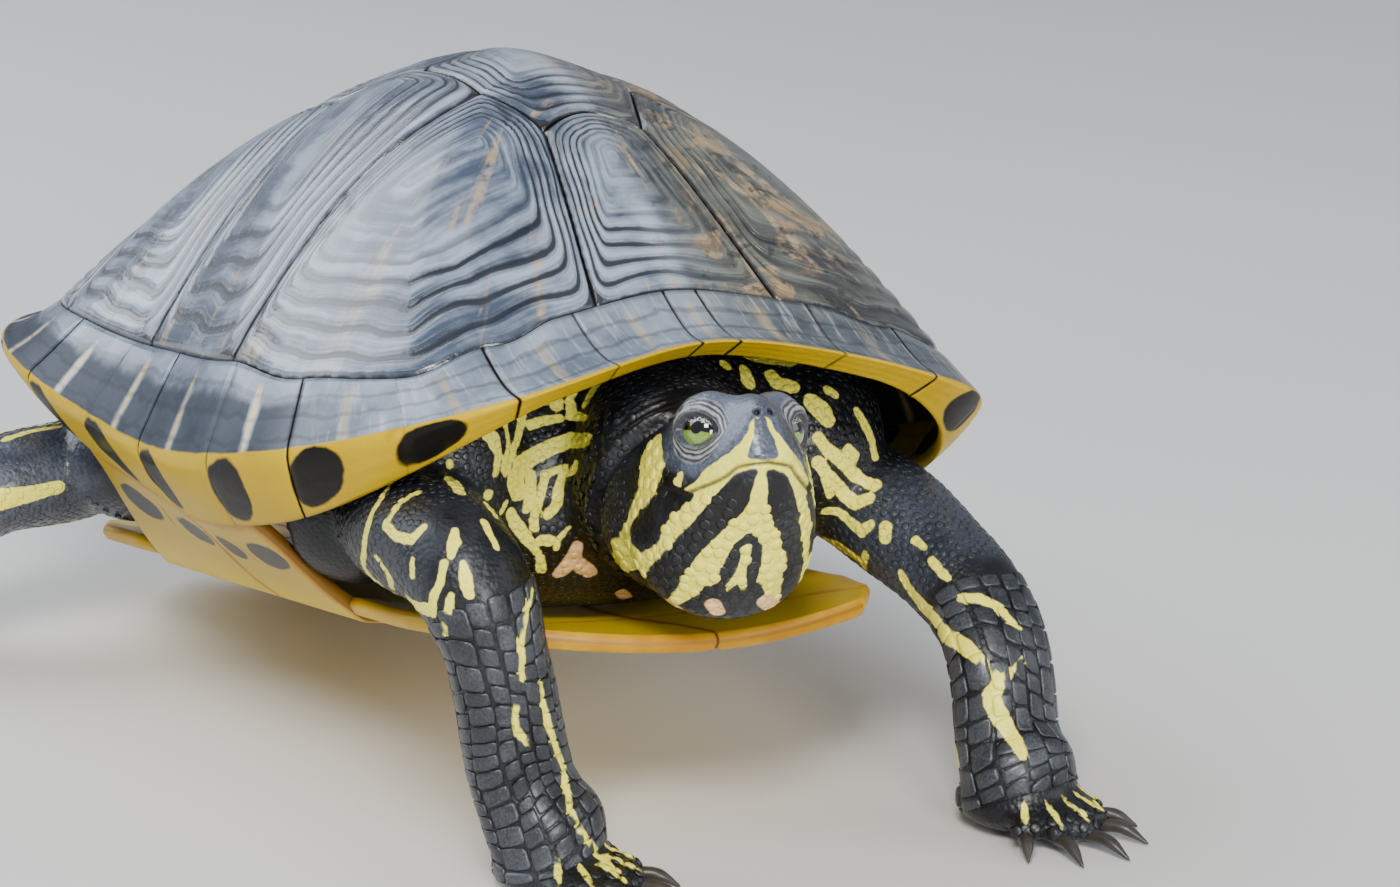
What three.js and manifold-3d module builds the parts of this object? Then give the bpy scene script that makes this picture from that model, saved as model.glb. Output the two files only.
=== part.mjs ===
// Yellow-bellied slider turtle, life size, standing on four feet.
// Millimetres, +Z up, the head towards -Y, the animal's left towards +X.
import * as THREE from 'three';
import { mergeVertices } from 'three/addons/utils/BufferGeometryUtils.js';
import Module from 'manifold-3d';

const wasm = await Module();
wasm.setup();

// ---- driving dimensions: shell, in the shell's own frame (z = 0 at the side rims) ----
const shell = {
  halfLength: 100,
  halfWidth: 63.5,
  widerBehind: 0.023,
  squareness: [2.744, 2.45],
  threeLobe: -0.0407,
  fourLobe: -0.0495,
  rimRise: [9.05, 3.07, -0.874],
  height: 63.25,
  bellShare: 0.239,
  domePower: 2.41,
  peakShift: -0.186,
  keel: { rise: 1.6, halfWidth: 8, along: -0.25, reach: 0.45 },
  // [degrees from the nape, value]: where the marginals end, and how far the rim flares below the dome
  ring: [[0, 0.85], [25, 0.85], [34, 0.875], [44, 0.92], [56, 0.9], [69, 0.868], [90, 0.86], [180, 0.86]],
  flare: [[0, 5], [28, 5], [48, 0.6], [75, 0], [110, 1.5], [150, 4], [180, 4]],
  flarePower: 6,
  plate: 2.2,
  seamGap: 0.5,
  ringGap: 0.7,
  liningGap: 1.0,
  normalStep: 0.004,
};

// Scute seams in disk coordinates: 1 is the rim, y = -1 is the nape.
// vertebralSeamEnds: left ends of the four seams across the back; vertebralCorners: of vertebrals 2 to 4.
const vertebralSeamEnds = [[0.145, -0.52], [0.165, -0.13], [0.175, 0.26], [0.19, 0.6]];
const vertebralCorners = [[0.2, -0.35], [0.285, 0.07], [0.265, 0.43]];
const costalRingAngles = [17.5, 69, 95, 122, 152];
const marginalAngles = [3.4, 18.7, 31.8, 43.8, 55.9, 67.5, 84.6, 100, 115, 130, 145, 161, 179.7];
// Pairs are for the two ends of the shell and for the bridge: under: how far in the underside reaches,
// drop: how far it hangs, footRise: how thick its edge is. apex: where the two walls meet inside the rim.
// lean: slant of the front seams, in degrees.
const marginal = {
  halfGap: 0.27, under: [5.6, 9.5], footLip: 0.6, footRise: [0.8, 2.2],
  drop: [2.8, 11.6], dropStart: 25, dropFull: 60, dropEnd: 108, dropGone: 140,
  lean: 3.5, leanStart: 5, leanFull: 18, leanEnd: 34, leanGone: 50,
  apex: 4.2, apexLean: 0.28, apexRise: -1.2,
};

// Columns and rows of each kind of plate, with the patch's rough size for the width of its seams.
const plates = {
  middleVertebral: { columns: 4, rows: 6, width: 26, length: 34 },
  frontVertebral: { columns: 5, rows: 4, width: 34, length: 30 },
  rearVertebral: { columns: 5, rows: 6, width: 34, length: 30 },
  frontCostal: { columns: 5, rows: 7, width: 45, length: 55 },
  costal: { columns: 5, rows: 4, width: 45, length: 32 },
};

// Plastron: [y, half width] down the free edge, and seams as [y at the midline, y at the edge].
const plastron = {
  floor: -31, thickness: 3, lipRise: 1.5, lipStart: -58, lipEnd: -92,
  sideRise: 4.5, lobeWidth: 42, flatEdge: 38, wingStart: 0.6,
  edge: [[-95, 14], [-92, 25], [-86, 33], [-78, 39], [-66, 42], [-46, 42], [-36, 38],
    [30, 38], [46, 41], [62, 41], [76, 35], [88, 22], [93, 10]],
  seams: { front: [-94, -87], gular: [-66, -81], humeral: [-47, -46], pectoral: [-19, -12], abdominal: [26, 40],
    femoral: [54, 66], tail: [86, 92] },
  bridgeAngles: [64.5, 85, 112.5], bridgeGap: 0.3, bridgeOut: 0.5,
};

// ---- driving dimensions: pose ----
const pose = { frontUp: 7.47, rightUp: 4.5, rimHeight: 49.5, shiftX: 0.37, shiftY: 13.75 };

// ---- driving dimensions: head, measured back from the nostrils ----
const head = {
  nostrils: [-7.5, -120.1, 11.7],
  forward: [-0.185, -0.867, 0.462],
  left: [0.974, -0.225, -0.032],
  // distance back, half width, top, bottom
  sections: [[0, 3.3, 1.7, -7.4], [1.6, 5, 2.6, -9.4], [5, 7.5, 4.7, -12.2], [9.5, 9.3, 6.3, -14.8],
    [14, 11.3, 6.9, -17.4], [20, 13.6, 7.6, -20.8], [27, 15.3, 7.6, -23.4], [33, 15.6, 6.4, -23.6]],
  eyeBack: 11, eyeSide: 5.8, eyeUp: 0.9, eyeRadius: 4.2,
  crowding: 1.25, boxiness: 0.85,
};

// gap: between soft pieces; elbowGap, wrist: shares of a limb's length
const flesh = { gap: 0.35, elbowGap: 0.004, wrist: 0.97 };
// side, end: plan of the trunk as a share of the rim's; taper: how its floor draws in; brim: where it rises
const trunk = { side: 0.9, end: 0.8, taper: [0.9, 0.35], brim: 0.5, brimPower: 1.2 };

// ---- small helpers ----
const rad = THREE.MathUtils.degToRad;
const lerp = THREE.MathUtils.lerp;
const vec = (a) => new THREE.Vector3(...a);

function smooth(from, to, value) {
  const t = THREE.MathUtils.clamp((value - from) / (to - from), 0, 1);
  return t * t * (3 - 2 * t);
}

// Reading of a table of [position, ...values] rows, along straight lines or eased ones.
function readTable(rows, at, column = 1, eased = false) {
  const last = rows.length - 1;
  if (at <= rows[0][0]) return rows[0][column];
  if (at >= rows[last][0]) return rows[last][column];
  const i = rows.findIndex((row) => row[0] > at) - 1;
  const t = (at - rows[i][0]) / (rows[i + 1][0] - rows[i][0]);
  return lerp(rows[i][column], rows[i + 1][column], eased ? smooth(0, 1, t) : t);
}

function signedVolume(geometry) {
  const p = geometry.attributes.position;
  const index = geometry.index.array;
  const [a, b, c] = [new THREE.Vector3(), new THREE.Vector3(), new THREE.Vector3()];
  let sum = 0;
  for (let i = 0; i < index.length; i += 3) {
    a.fromBufferAttribute(p, index[i]);
    b.fromBufferAttribute(p, index[i + 1]);
    c.fromBufferAttribute(p, index[i + 2]);
    sum += a.dot(b.cross(c)) / 6;
  }
  return sum;
}

// Moves every vertex of a closed three.js solid and leaves it welded and facing outwards.
function shape(geometry, place) {
  geometry.deleteAttribute('normal');
  geometry.deleteAttribute('uv');
  const p = geometry.attributes.position;
  const v = new THREE.Vector3();
  for (let i = 0; i < p.count; i++) {
    v.fromBufferAttribute(p, i);
    v.copy(place(v));
    p.setXYZ(i, v.x, v.y, v.z);
  }
  const welded = mergeVertices(geometry, 1e-4);
  const index = Array.from(welded.index.array);
  const kept = [];
  for (let i = 0; i < index.length; i += 3) {
    const [a, b, c] = index.slice(i, i + 3);
    if (a !== b && b !== c && a !== c) kept.push(a, b, c);
  }
  welded.setIndex(kept);
  if (signedVolume(welded) < 0) {
    for (let i = 0; i < kept.length; i += 3) [kept[i], kept[i + 1]] = [kept[i + 1], kept[i]];
    welded.setIndex(kept);
  }
  return welded;
}

function toManifold(geometry) {
  const vertProperties = new Float32Array(geometry.attributes.position.array);
  const triVerts = new Uint32Array(geometry.index.array);
  return new wasm.Manifold(new wasm.Mesh({ numProp: 3, vertProperties, triVerts }));
}

// The largest piece of a manifold, as a geometry.
function fromManifold(manifold) {
  const pieces = manifold.decompose();
  pieces.sort((a, b) => b.volume() - a.volume());
  const mesh = pieces[0].getMesh();
  const geometry = new THREE.BufferGeometry();
  const xyz = new Float32Array(mesh.numVert * 3);
  for (let i = 0; i < mesh.numVert; i++) {
    for (let k = 0; k < 3; k++) xyz[i * 3 + k] = mesh.vertProperties[i * mesh.numProp + k];
  }
  geometry.setAttribute('position', new THREE.BufferAttribute(xyz, 3));
  geometry.setIndex(Array.from(mesh.triVerts));
  return geometry;
}

// ---- materials ----
const colour = (hex, roughness) => new THREE.MeshStandardMaterial({ color: hex, roughness, metalness: 0 });
const materials = {
  carapace: colour(0x4a525c, 0.35),
  rim: colour(0x565a55, 0.35),
  plastron: colour(0xe0b445, 0.45),
  skin: colour(0x3a3f3a, 0.55),
  eye: colour(0x1b1d12, 0.08),
};

const animal = new THREE.Group();
const body = new THREE.Group();
animal.add(body);
body.rotation.set(-rad(pose.frontUp), rad(pose.rightUp), 0);
body.position.set(0, 0, pose.rimHeight);
body.updateMatrix();
const standPoint = (a) => vec(a).applyMatrix4(body.matrix);

function addPart(parent, name, geometry, material) {
  const mesh = new THREE.Mesh(geometry, material);
  mesh.name = name;
  parent.add(mesh);
}

// ---- carapace surface ----
const degreesFromNape = (angle) => Math.abs(THREE.MathUtils.radToDeg(angle));

function rimScale(angle) {
  const behind = smooth(100, 150, degreesFromNape(angle));
  const n = lerp(shell.squareness[0], shell.squareness[1], behind);
  const across = Math.abs(Math.sin(angle)) ** n;
  const along = Math.abs(Math.cos(angle)) ** n;
  const lobes = 1 + shell.threeLobe * Math.cos(3 * angle) + shell.fourLobe * Math.cos(4 * angle);
  return ((across + along) ** (-1 / n)) * lobes / (1 + shell.fourLobe);
}

function rimHeight(angle) {
  const [two, three, four] = shell.rimRise;
  return two * (Math.cos(2 * angle) + 1) + three * Math.cos(3 * angle) + four * Math.cos(4 * angle);
}

function domeHeight(reach) {
  const bell = 0.5 * (1 + Math.cos(Math.PI * reach));
  return shell.bellShare * bell + (1 - shell.bellShare) * (1 - reach ** shell.domePower);
}

// Point of the outer surface over disk coordinates (across, along).
function domePoint(across, along) {
  const r = Math.hypot(across, along) + 1e-9;
  const angle = Math.atan2(across, -along);
  const m = rimScale(angle);
  const dy = along - shell.peakShift;
  const square = across * across + dy * dy + 1e-9;
  const lean = shell.peakShift * dy;
  const reach = square / (Math.sqrt(lean * lean + square * (1 - shell.peakShift ** 2)) - lean);
  const x = shell.halfWidth * m * across * (1 + shell.widerBehind * m * along);
  const peak = shell.flarePower / (shell.flarePower + 1);
  const flare = readTable(shell.flare, degreesFromNape(angle), 1, true)
    * (r ** shell.flarePower) * (1 - r) / (peak ** shell.flarePower * (1 - peak));
  const { rise, halfWidth, along: middle, reach: length } = shell.keel;
  const keel = rise * Math.exp(-((x / halfWidth) ** 2) - ((along - middle) / length) ** 2);
  const z = rimHeight(angle) * r ** 3 + shell.height * domeHeight(reach) - flare + keel;
  return new THREE.Vector3(x, shell.halfLength * m * along, z);
}

function shellPoint(across, along, inset) {
  const step = shell.normalStep;
  const back = 1 - step;
  const here = domePoint(across, along);
  const du = domePoint(across + step, along * back).sub(domePoint(across - step, along * back));
  const dv = domePoint(across * back, along + step).sub(domePoint(across * back, along - step));
  const normal = du.cross(dv).normalize();
  if (normal.z < 0) normal.negate();
  return here.addScaledVector(normal, -inset);
}

const ringRadius = (degrees) => readTable(shell.ring, degrees <= 180 ? Math.abs(degrees) : 360 - degrees, 1, true);

function ringPoint(degrees) {
  const r = ringRadius(degrees);
  return [r * Math.sin(rad(degrees)), -r * Math.cos(rad(degrees))];
}

// A plate of the carapace over a four-sided patch of the disk; edges are functions of 0..1.
function carapacePlate(medial, lateral, { columns, rows, width, length }) {
  const eu = shell.seamGap / 2 / width;
  const ev = shell.seamGap / 2 / length;
  return shape(new THREE.BoxGeometry(1, 1, 1, columns, rows, 1), (p) => {
    const u = lerp(eu, 1 - eu, p.x + 0.5);
    const v = lerp(ev, 1 - ev, p.y + 0.5);
    const [a, b] = [medial(v), lateral(v)];
    return shellPoint(lerp(a[0], b[0], u), lerp(a[1], b[1], u), (p.z + 0.5) * shell.plate);
  });
}

const through = (points) => (t) => {
  const k = Math.min(Math.floor(t * (points.length - 1)), points.length - 2);
  const s = t * (points.length - 1) - k;
  return [lerp(points[k][0], points[k + 1][0], s), lerp(points[k][1], points[k + 1][1], s)];
};
const alongRing = (from, to) => (t) => ringPoint(lerp(from, to, t));
const mirrored = (edge, side) => (t) => {
  const [across, along] = edge(t);
  return [side * across, along];
};

// Vertebrals 2 to 4: six-sided, with a corner half-way down each side.
function middleVertebral(points) {
  return carapacePlate(mirrored(through(points), -1), through(points), plates.middleVertebral);
}

// Vertebrals 1 and 5: one straight seam, and an opposite edge that follows the ring.
function endVertebral(seamEnd, from, to, patch) {
  const seam = through([[-seamEnd[0], seamEnd[1]], seamEnd]);
  return carapacePlate(seam, alongRing(from, to), patch);
}

function addVertebrals() {
  const ends = vertebralSeamEnds;
  const [first, last] = [costalRingAngles[0], costalRingAngles[4]];
  const solids = [
    endVertebral(ends[0], -first, first, plates.frontVertebral),
    middleVertebral([ends[0], vertebralCorners[0], ends[1]]),
    middleVertebral([ends[1], vertebralCorners[1], ends[2]]),
    middleVertebral([ends[2], vertebralCorners[2], ends[3]]),
    endVertebral(ends[3], 360 - last, last, plates.rearVertebral),
  ];
  solids.forEach((geometry, i) => addPart(body, `vertebral_${i + 1}`, geometry, materials.carapace));
}

function addCostals() {
  const medials = [
    [vertebralSeamEnds[0], vertebralCorners[0]],
    [vertebralCorners[0], vertebralSeamEnds[1], vertebralCorners[1]],
    [vertebralCorners[1], vertebralSeamEnds[2], vertebralCorners[2]],
    [vertebralCorners[2], vertebralSeamEnds[3]],
  ];
  for (const [sideName, side] of [['left', 1], ['right', -1]]) {
    medials.forEach((points, i) => {
      const medial = mirrored(through(points), side);
      const lateral = mirrored(alongRing(costalRingAngles[i], costalRingAngles[i + 1]), side);
      const geometry = carapacePlate(medial, lateral, i === 0 ? plates.frontCostal : plates.costal);
      addPart(body, `costal_${i + 1}_${sideName}`, geometry, materials.carapace);
    });
  }
}

// ---- marginals: plates folded round the rim ----
// 1 over the bridge, 0 in front of it and behind it.
const overBridge = (degrees) => smooth(marginal.dropStart, marginal.dropFull, degrees)
  * (1 - smooth(marginal.dropEnd, marginal.dropGone, degrees));

// Lower inner edge of the marginals, where the bridge joins them.
function marginalFoot(degrees, side, extra = 0) {
  const rim = domePoint(side * Math.sin(rad(degrees)), -Math.cos(rad(degrees)));
  const inward = new THREE.Vector3(-rim.x, -rim.y, 0).normalize();
  rim.addScaledVector(inward, lerp(...marginal.under, overBridge(degrees)) + extra);
  rim.z -= lerp(...marginal.drop, overBridge(degrees));
  return rim;
}

// The front seams of the marginals slant: their upper ends lie further from the nape.
const seamLean = (degrees) => marginal.lean * smooth(marginal.leanStart, marginal.leanFull, degrees)
  * (1 - smooth(marginal.leanEnd, marginal.leanGone, degrees));

// across 0..1 runs from the ring over the rim to the foot; depth 0 is the outside, 1 the inside.
function marginalPoint(degrees, side, across, depth) {
  const upper = rad(degrees + seamLean(degrees) * Math.max(0, 1 - 2 * across));
  const [sx, sy] = [side * Math.sin(upper), -Math.cos(upper)];
  const rim = domePoint(side * Math.sin(rad(degrees)), -Math.cos(rad(degrees)));
  const foot = marginalFoot(degrees, side);
  const start = ringRadius(THREE.MathUtils.radToDeg(upper)) + shell.ringGap / shell.halfLength;
  if (across <= 0.5) {
    const r = lerp(start, 1, across * 2);
    const outer = domePoint(sx * r, sy * r);
    if (depth === 0) return outer;
    const inner = shellPoint(sx * r, sy * r, shell.plate);
    const leaned = rad(degrees + seamLean(degrees) * marginal.apexLean);
    const apex = domePoint(side * Math.sin(leaned), -Math.cos(leaned));
    apex.addScaledVector(new THREE.Vector3(-apex.x, -apex.y, 0).normalize(), marginal.apex);
    apex.z += marginal.apexRise;
    return inner.lerp(apex, smooth(0.2, 0.5, across));
  }
  const t = (across - 0.5) * 2;
  const outer = rim.clone().lerp(foot, t);
  if (depth === 0) return outer;
  const apex = marginalPoint(degrees, side, 0.5, 1);
  const inward = new THREE.Vector3(-rim.x, -rim.y, 0).normalize();
  const end = foot.clone().addScaledVector(inward, marginal.footLip);
  end.z += lerp(...marginal.footRise, overBridge(degrees));
  return apex.lerp(end, t);
}

function marginalPlate(first, last, side, columns) {
  const from = marginalAngles[first] + marginal.halfGap;
  const to = marginalAngles[last] - marginal.halfGap;
  return shape(new THREE.BoxGeometry(1, 1, 1, columns, 4, 1), (p) => (
    marginalPoint(lerp(from, to, p.x + 0.5), side, p.y + 0.5, p.z + 0.5)
  ));
}

function addMarginals() {
  for (const [sideName, side] of [['left', 1], ['right', -1]]) {
    for (let i = 0; i < 12; i += 2) {
      addPart(body, `marginals_${i + 1}_${i + 2}_${sideName}`, marginalPlate(i, i + 2, side, 4), materials.rim);
    }
  }
  const half = marginalAngles[0] - marginal.halfGap;
  const nuchal = shape(new THREE.BoxGeometry(1, 1, 1, 2, 4, 1), (p) => {
    const degrees = lerp(-half, half, p.x + 0.5);
    return marginalPoint(Math.abs(degrees), Math.sign(degrees) || 1, p.y + 0.5, p.z + 0.5);
  });
  addPart(body, 'nuchal', nuchal, materials.rim);
}

// ---- plastron and bridges ----
function plastronFloor(across, along) {
  const lip = plastron.lipRise * smooth(-plastron.lipStart, -plastron.lipEnd, -along);
  return plastron.floor + lip + plastron.sideRise * (across / plastron.lobeWidth) ** 2;
}

// A scute of a free lobe, from the midline to the lobe's edge.
function lobePlate(front, rear, side) {
  const gap = shell.seamGap / 2;
  return shape(new THREE.BoxGeometry(1, 1, 1, 4, 3, 1), (p) => {
    const [u, v] = [p.x + 0.5, p.y + 0.5];
    const y0 = lerp(front[0], front[1], u * u) + gap;
    const y1 = lerp(rear[0], rear[1], u * u) - gap;
    const y = lerp(y0, y1, v);
    const x = lerp(gap, readTable(plastron.edge, y), u);
    const z = plastronFloor(x, y) + (p.z + 0.5) * plastron.thickness;
    return new THREE.Vector3(side * x, y, z);
  });
}

// A scute of the bridge: flat below, then up to the foot of the marginals.
function bridgePlate(front, rear, angles, side) {
  const gap = shell.seamGap / 2;
  return shape(new THREE.BoxGeometry(1, 1, 1, 6, 4, 1), (p) => {
    const [u, v] = [p.x + 0.5, p.y + 0.5];
    const flat = Math.min(u / plastron.wingStart, 1);
    const x = lerp(gap, plastron.flatEdge, flat);
    const outward = (x / plastron.lobeWidth) ** 2;
    const y0 = lerp(front[0], front[1], outward) + gap;
    const y1 = lerp(rear[0], rear[1], outward) - gap;
    const lift = (p.z + 0.5) * plastron.thickness;
    const y = lerp(y0, y1, v);
    const point = new THREE.Vector3(side * x, y, plastronFloor(x, y) + lift);
    if (u <= plastron.wingStart) return point;
    const degrees = lerp(angles[0] + plastron.bridgeGap, angles[1] - plastron.bridgeGap, v);
    const foot = marginalFoot(degrees, side, plastron.bridgeOut + lift * 0.5);
    foot.z += lift * 0.7 - plastron.bridgeGap;
    return point.lerp(foot, (u - plastron.wingStart) / (1 - plastron.wingStart));
  });
}

function addPlastron() {
  const seams = plastron.seams;
  const angles = plastron.bridgeAngles;
  for (const [sideName, side] of [['left', 1], ['right', -1]]) {
    const plates = {
      gular: lobePlate(seams.front, seams.gular, side),
      humeral: lobePlate(seams.gular, seams.humeral, side),
      pectoral: bridgePlate(seams.humeral, seams.pectoral, angles.slice(0, 2), side),
      abdominal: bridgePlate(seams.pectoral, seams.abdominal, angles.slice(1, 3), side),
      femoral: lobePlate(seams.abdominal, seams.femoral, side),
      anal: lobePlate(seams.femoral, seams.tail, side),
    };
    for (const [name, geometry] of Object.entries(plates)) {
      addPart(body, `${name}_${sideName}`, geometry, materials.plastron);
    }
  }
}

// ---- flesh ----
// A closed tube along points, in the frame given by side; rows are [place 0..1, half width, half depth].
function limb({ points, sizes, side, around, along, from = 0, to = 1, grow = 0 }) {
  const curve = new THREE.CatmullRomCurve3(points, false, 'centripetal');
  return shape(new THREE.CylinderGeometry(1, 1, 1, around, along), (p) => {
    const v = p.y + 0.5;
    const t = lerp(from, to, v);
    const r = Math.hypot(p.x, p.z);
    const tangent = curve.getTangentAt(t);
    const wide = side.clone().addScaledVector(tangent, -side.dot(tangent)).normalize();
    const deep = tangent.clone().cross(wide);
    const half = [readTable(sizes, t, 1) + grow, readTable(sizes, t, 2) + grow];
    const centre = curve.getPointAt(t);
    if (grow > 0 && v < 1e-6) centre.addScaledVector(tangent, -grow);
    if (grow > 0 && v > 1 - 1e-6) centre.addScaledVector(tangent, grow);
    const angle = Math.atan2(p.z, p.x);
    centre.addScaledVector(wide, half[0] * r * Math.cos(angle));
    return centre.addScaledVector(deep, half[1] * r * Math.sin(angle));
  });
}

// Blob between the plates; its front and rear walls stand back from the rim.
function trunkSolid() {
  return toManifold(shape(new THREE.SphereGeometry(1, 18, 10), (p) => {
    const level = p.y;
    const r = Math.min(Math.hypot(p.x, p.z), 1);
    const angle = Math.atan2(p.x, -p.z);
    const ends = Math.abs(Math.cos(angle)) ** 3;
    const plan = lerp(trunk.side, trunk.end, ends);
    const inset = shell.plate + shell.liningGap;
    if (level >= 0) {
      return shellPoint(r * plan * Math.sin(angle), -r * plan * Math.cos(angle), inset);
    }
    const edge = shellPoint(plan * Math.sin(angle), -plan * Math.cos(angle), inset);
    const shrink = r ** lerp(...trunk.taper, ends);
    const [x, y] = [edge.x * shrink, edge.y * shrink];
    const floor = plastronFloor(x, y) + plastron.thickness + shell.liningGap;
    const rise = Math.max(0, (r - trunk.brim) / (1 - trunk.brim)) ** trunk.brimPower;
    return new THREE.Vector3(x, y, lerp(floor, Math.max(edge.z, floor), rise));
  }));
}

// Point of the head's own frame: so far ahead of the nostrils, to its left and up.
const headForward = vec(head.forward).normalize();
const headLeft = vec(head.left).normalize();
const headUp = headForward.clone().cross(headLeft).normalize();

function headPoint(ahead, left, up) {
  return vec(head.nostrils).addScaledVector(headForward, ahead).addScaledVector(headLeft, left)
    .addScaledVector(headUp, up);
}

function headSolid(grow = 0) {
  const length = head.sections[head.sections.length - 1][0];
  return toManifold(shape(new THREE.CylinderGeometry(1, 1, 1, 18, 8), (p) => {
    const v = p.y + 0.5;
    const back = length * v ** head.crowding;
    const r = Math.hypot(p.x, p.z);
    const angle = Math.atan2(p.z, p.x);
    const half = readTable(head.sections, back, 1) + grow;
    const top = readTable(head.sections, back, 2) + grow;
    const bottom = readTable(head.sections, back, 3) - grow;
    const across = half * r * Math.sign(Math.cos(angle)) * Math.abs(Math.cos(angle)) ** head.boxiness;
    const height = lerp(bottom, top, 0.5 + 0.5 * r * Math.sin(angle));
    const ahead = (v < 1e-6 ? grow : 0) - (v > 1 - 1e-6 ? grow : 0);
    return headPoint(ahead - back, across, height);
  }));
}

function eyeSolid(side, grow = 0) {
  const centre = headPoint(-head.eyeBack, side * head.eyeSide, head.eyeUp);
  return toManifold(shape(new THREE.SphereGeometry(head.eyeRadius + grow, 10, 7), (p) => p.clone().add(centre)));
}

// ---- limbs: joint places in the standing frame ----
const arms = {
  right: {
    points: [standPoint([-36, -50, -6]), vec([-42.5, -66, 52.5]), vec([-45, -87, 53]), vec([-43.6, -95.5, 46]),
      vec([-40.6, -96.4, 33]), vec([-37.4, -95.6, 18]), vec([-34.2, -97.5, 5.5])],
    sizes: [[0, 9.5, 9], [0.3, 10.8, 10], [0.48, 9.4, 9.2], [0.62, 7.9, 7], [0.85, 8.5, 5.8], [1, 9.6, 5]],
    elbow: 0.5,
    palm: { at: [-33.2, -99.5, 3.4], heading: 14, half: [10.2, 10.5, 4.4] },
  },
  left: {
    points: [standPoint([38, -50, -6]), vec([43.5, -67, 44.8]), vec([47, -87, 37.5]), vec([47, -100, 31.5]),
      vec([45, -108, 24]), vec([44, -112.5, 10])],
    sizes: [[0, 9.5, 9], [0.3, 10.4, 9.6], [0.55, 9.2, 8.6], [0.75, 8.6, 7], [0.9, 8.8, 6], [1, 9.4, 5.2]],
    elbow: 0.58,
    palm: { at: [44.8, -113.8, 4.8], heading: 12, half: [10.6, 10.2, 6.1] },
  },
};

const legs = {
  right: {
    points: [standPoint([-32, 60, -9]), standPoint([-48, 59, -13]), vec([-65, 56, 32]), vec([-76, 58, 25]),
      vec([-79, 66, 15]), vec([-79.5, 72.5, 5.5])],
    sizes: [[0, 11.5, 9], [0.3, 12, 9.4], [0.55, 10, 8.6], [0.75, 8, 7], [1, 7.2, 6]],
    elbow: 0.58,
    palm: { at: [-82, 73, 3.3], heading: -62, half: [9.4, 14, 4.2] },
  },
  left: {
    points: [standPoint([32, 60, -9]), standPoint([48, 59, -13]), vec([65, 57, 24]), vec([76, 59, 20]),
      vec([79, 67, 14]), vec([79.5, 73.5, 5.5])],
    sizes: [[0, 11.5, 9], [0.3, 12, 9.4], [0.55, 10, 8.6], [0.75, 8, 7], [1, 7.2, 6]],
    elbow: 0.58,
    palm: { at: [82, 74, 3.3], heading: 62, half: [9.4, 14, 4.2] },
  },
};

// toe: [fan angle, length beyond the palm centre, claw length]
const toes = {
  fore: [[-40, 12, 5], [-19, 14, 6.5], [0, 15, 7], [19, 14, 6.5], [38, 12, 5.5]],
  hind: [[-30, 17, 5.5], [-11, 19, 6], [9, 18.5, 6], [28, 16.5, 5]],
};
const toe = {
  root: 3.1, tip: 2.2, arch: 0.6, start: 6, tipHeight: 1.76,
  claw: 1.35, clawTip: 0.4, clawArch: 0.9, clawStart: 1.2, clawHeight: 0.65,
};

const aboveFloor = (p) => p.setZ(Math.max(p.z, 0));

// Tapered round stick between two points with a sag, flattened where it meets the floor.
function stick(a, b, r0, r1, sag, around = 5) {
  const middle = a.clone().lerp(b, 0.5);
  middle.z += sag;
  const curve = new THREE.QuadraticBezierCurve3(a, middle, b);
  return toManifold(shape(new THREE.CylinderGeometry(1, 1, 1, around, 2), (p) => {
    const t = p.y + 0.5;
    const tangent = curve.getTangent(t);
    const wide = new THREE.Vector3(-tangent.y, tangent.x, 0).normalize();
    const deep = tangent.clone().cross(wide);
    const half = lerp(r0, r1, t);
    return aboveFloor(curve.getPoint(t).addScaledVector(wide, half * p.x).addScaledVector(deep, half * p.z));
  }));
}

// Palm with its toes and claws, flat where it touches the floor.
function footSolid(palm, fan) {
  const turn = rad(palm.heading);
  const ahead = new THREE.Vector3(Math.sin(turn), -Math.cos(turn), 0);
  const wide = new THREE.Vector3(Math.cos(turn), Math.sin(turn), 0);
  const centre = vec(palm.at);
  let foot = toManifold(shape(new THREE.SphereGeometry(1, 10, 5), (p) => aboveFloor(
    centre.clone().addScaledVector(wide, p.x * palm.half[0]).addScaledVector(ahead, p.z * palm.half[1])
      .add(new THREE.Vector3(0, 0, p.y * palm.half[2])),
  )));
  for (const [angle, length, claw] of fan) {
    const out = ahead.clone().applyAxisAngle(new THREE.Vector3(0, 0, 1), rad(angle));
    const root = centre.clone().addScaledVector(out, toe.start);
    const tip = centre.clone().addScaledVector(out, length);
    tip.z = toe.tipHeight;
    const point = tip.clone().addScaledVector(out, claw);
    point.z = toe.clawHeight;
    const start = tip.clone().addScaledVector(out, -toe.clawStart);
    foot = foot.add(stick(root, tip, toe.root, toe.tip, toe.arch));
    foot = foot.add(stick(start, point, toe.claw, toe.clawTip, toe.clawArch, 4));
  }
  return foot;
}

function limbParts(spec, fan, side) {
  const share = { points: spec.points, sizes: spec.sizes, side, around: 11 };
  const upper = { ...share, along: 5, from: 0, to: spec.elbow - flesh.elbowGap };
  const lower = { ...share, along: 6, from: spec.elbow + flesh.elbowGap, to: flesh.wrist };
  const foot = footSolid(spec.palm, fan);
  const footGrown = footSolid({ ...spec.palm, half: spec.palm.half.map((h) => h + flesh.gap) },
    fan.map(([angle, length]) => [angle, length, toe.clawStart]));
  return {
    upper: toManifold(limb(upper)),
    grown: toManifold(limb({ ...upper, grow: flesh.gap })),
    lower: toManifold(limb(lower)).subtract(footGrown),
    foot,
  };
}

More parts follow.
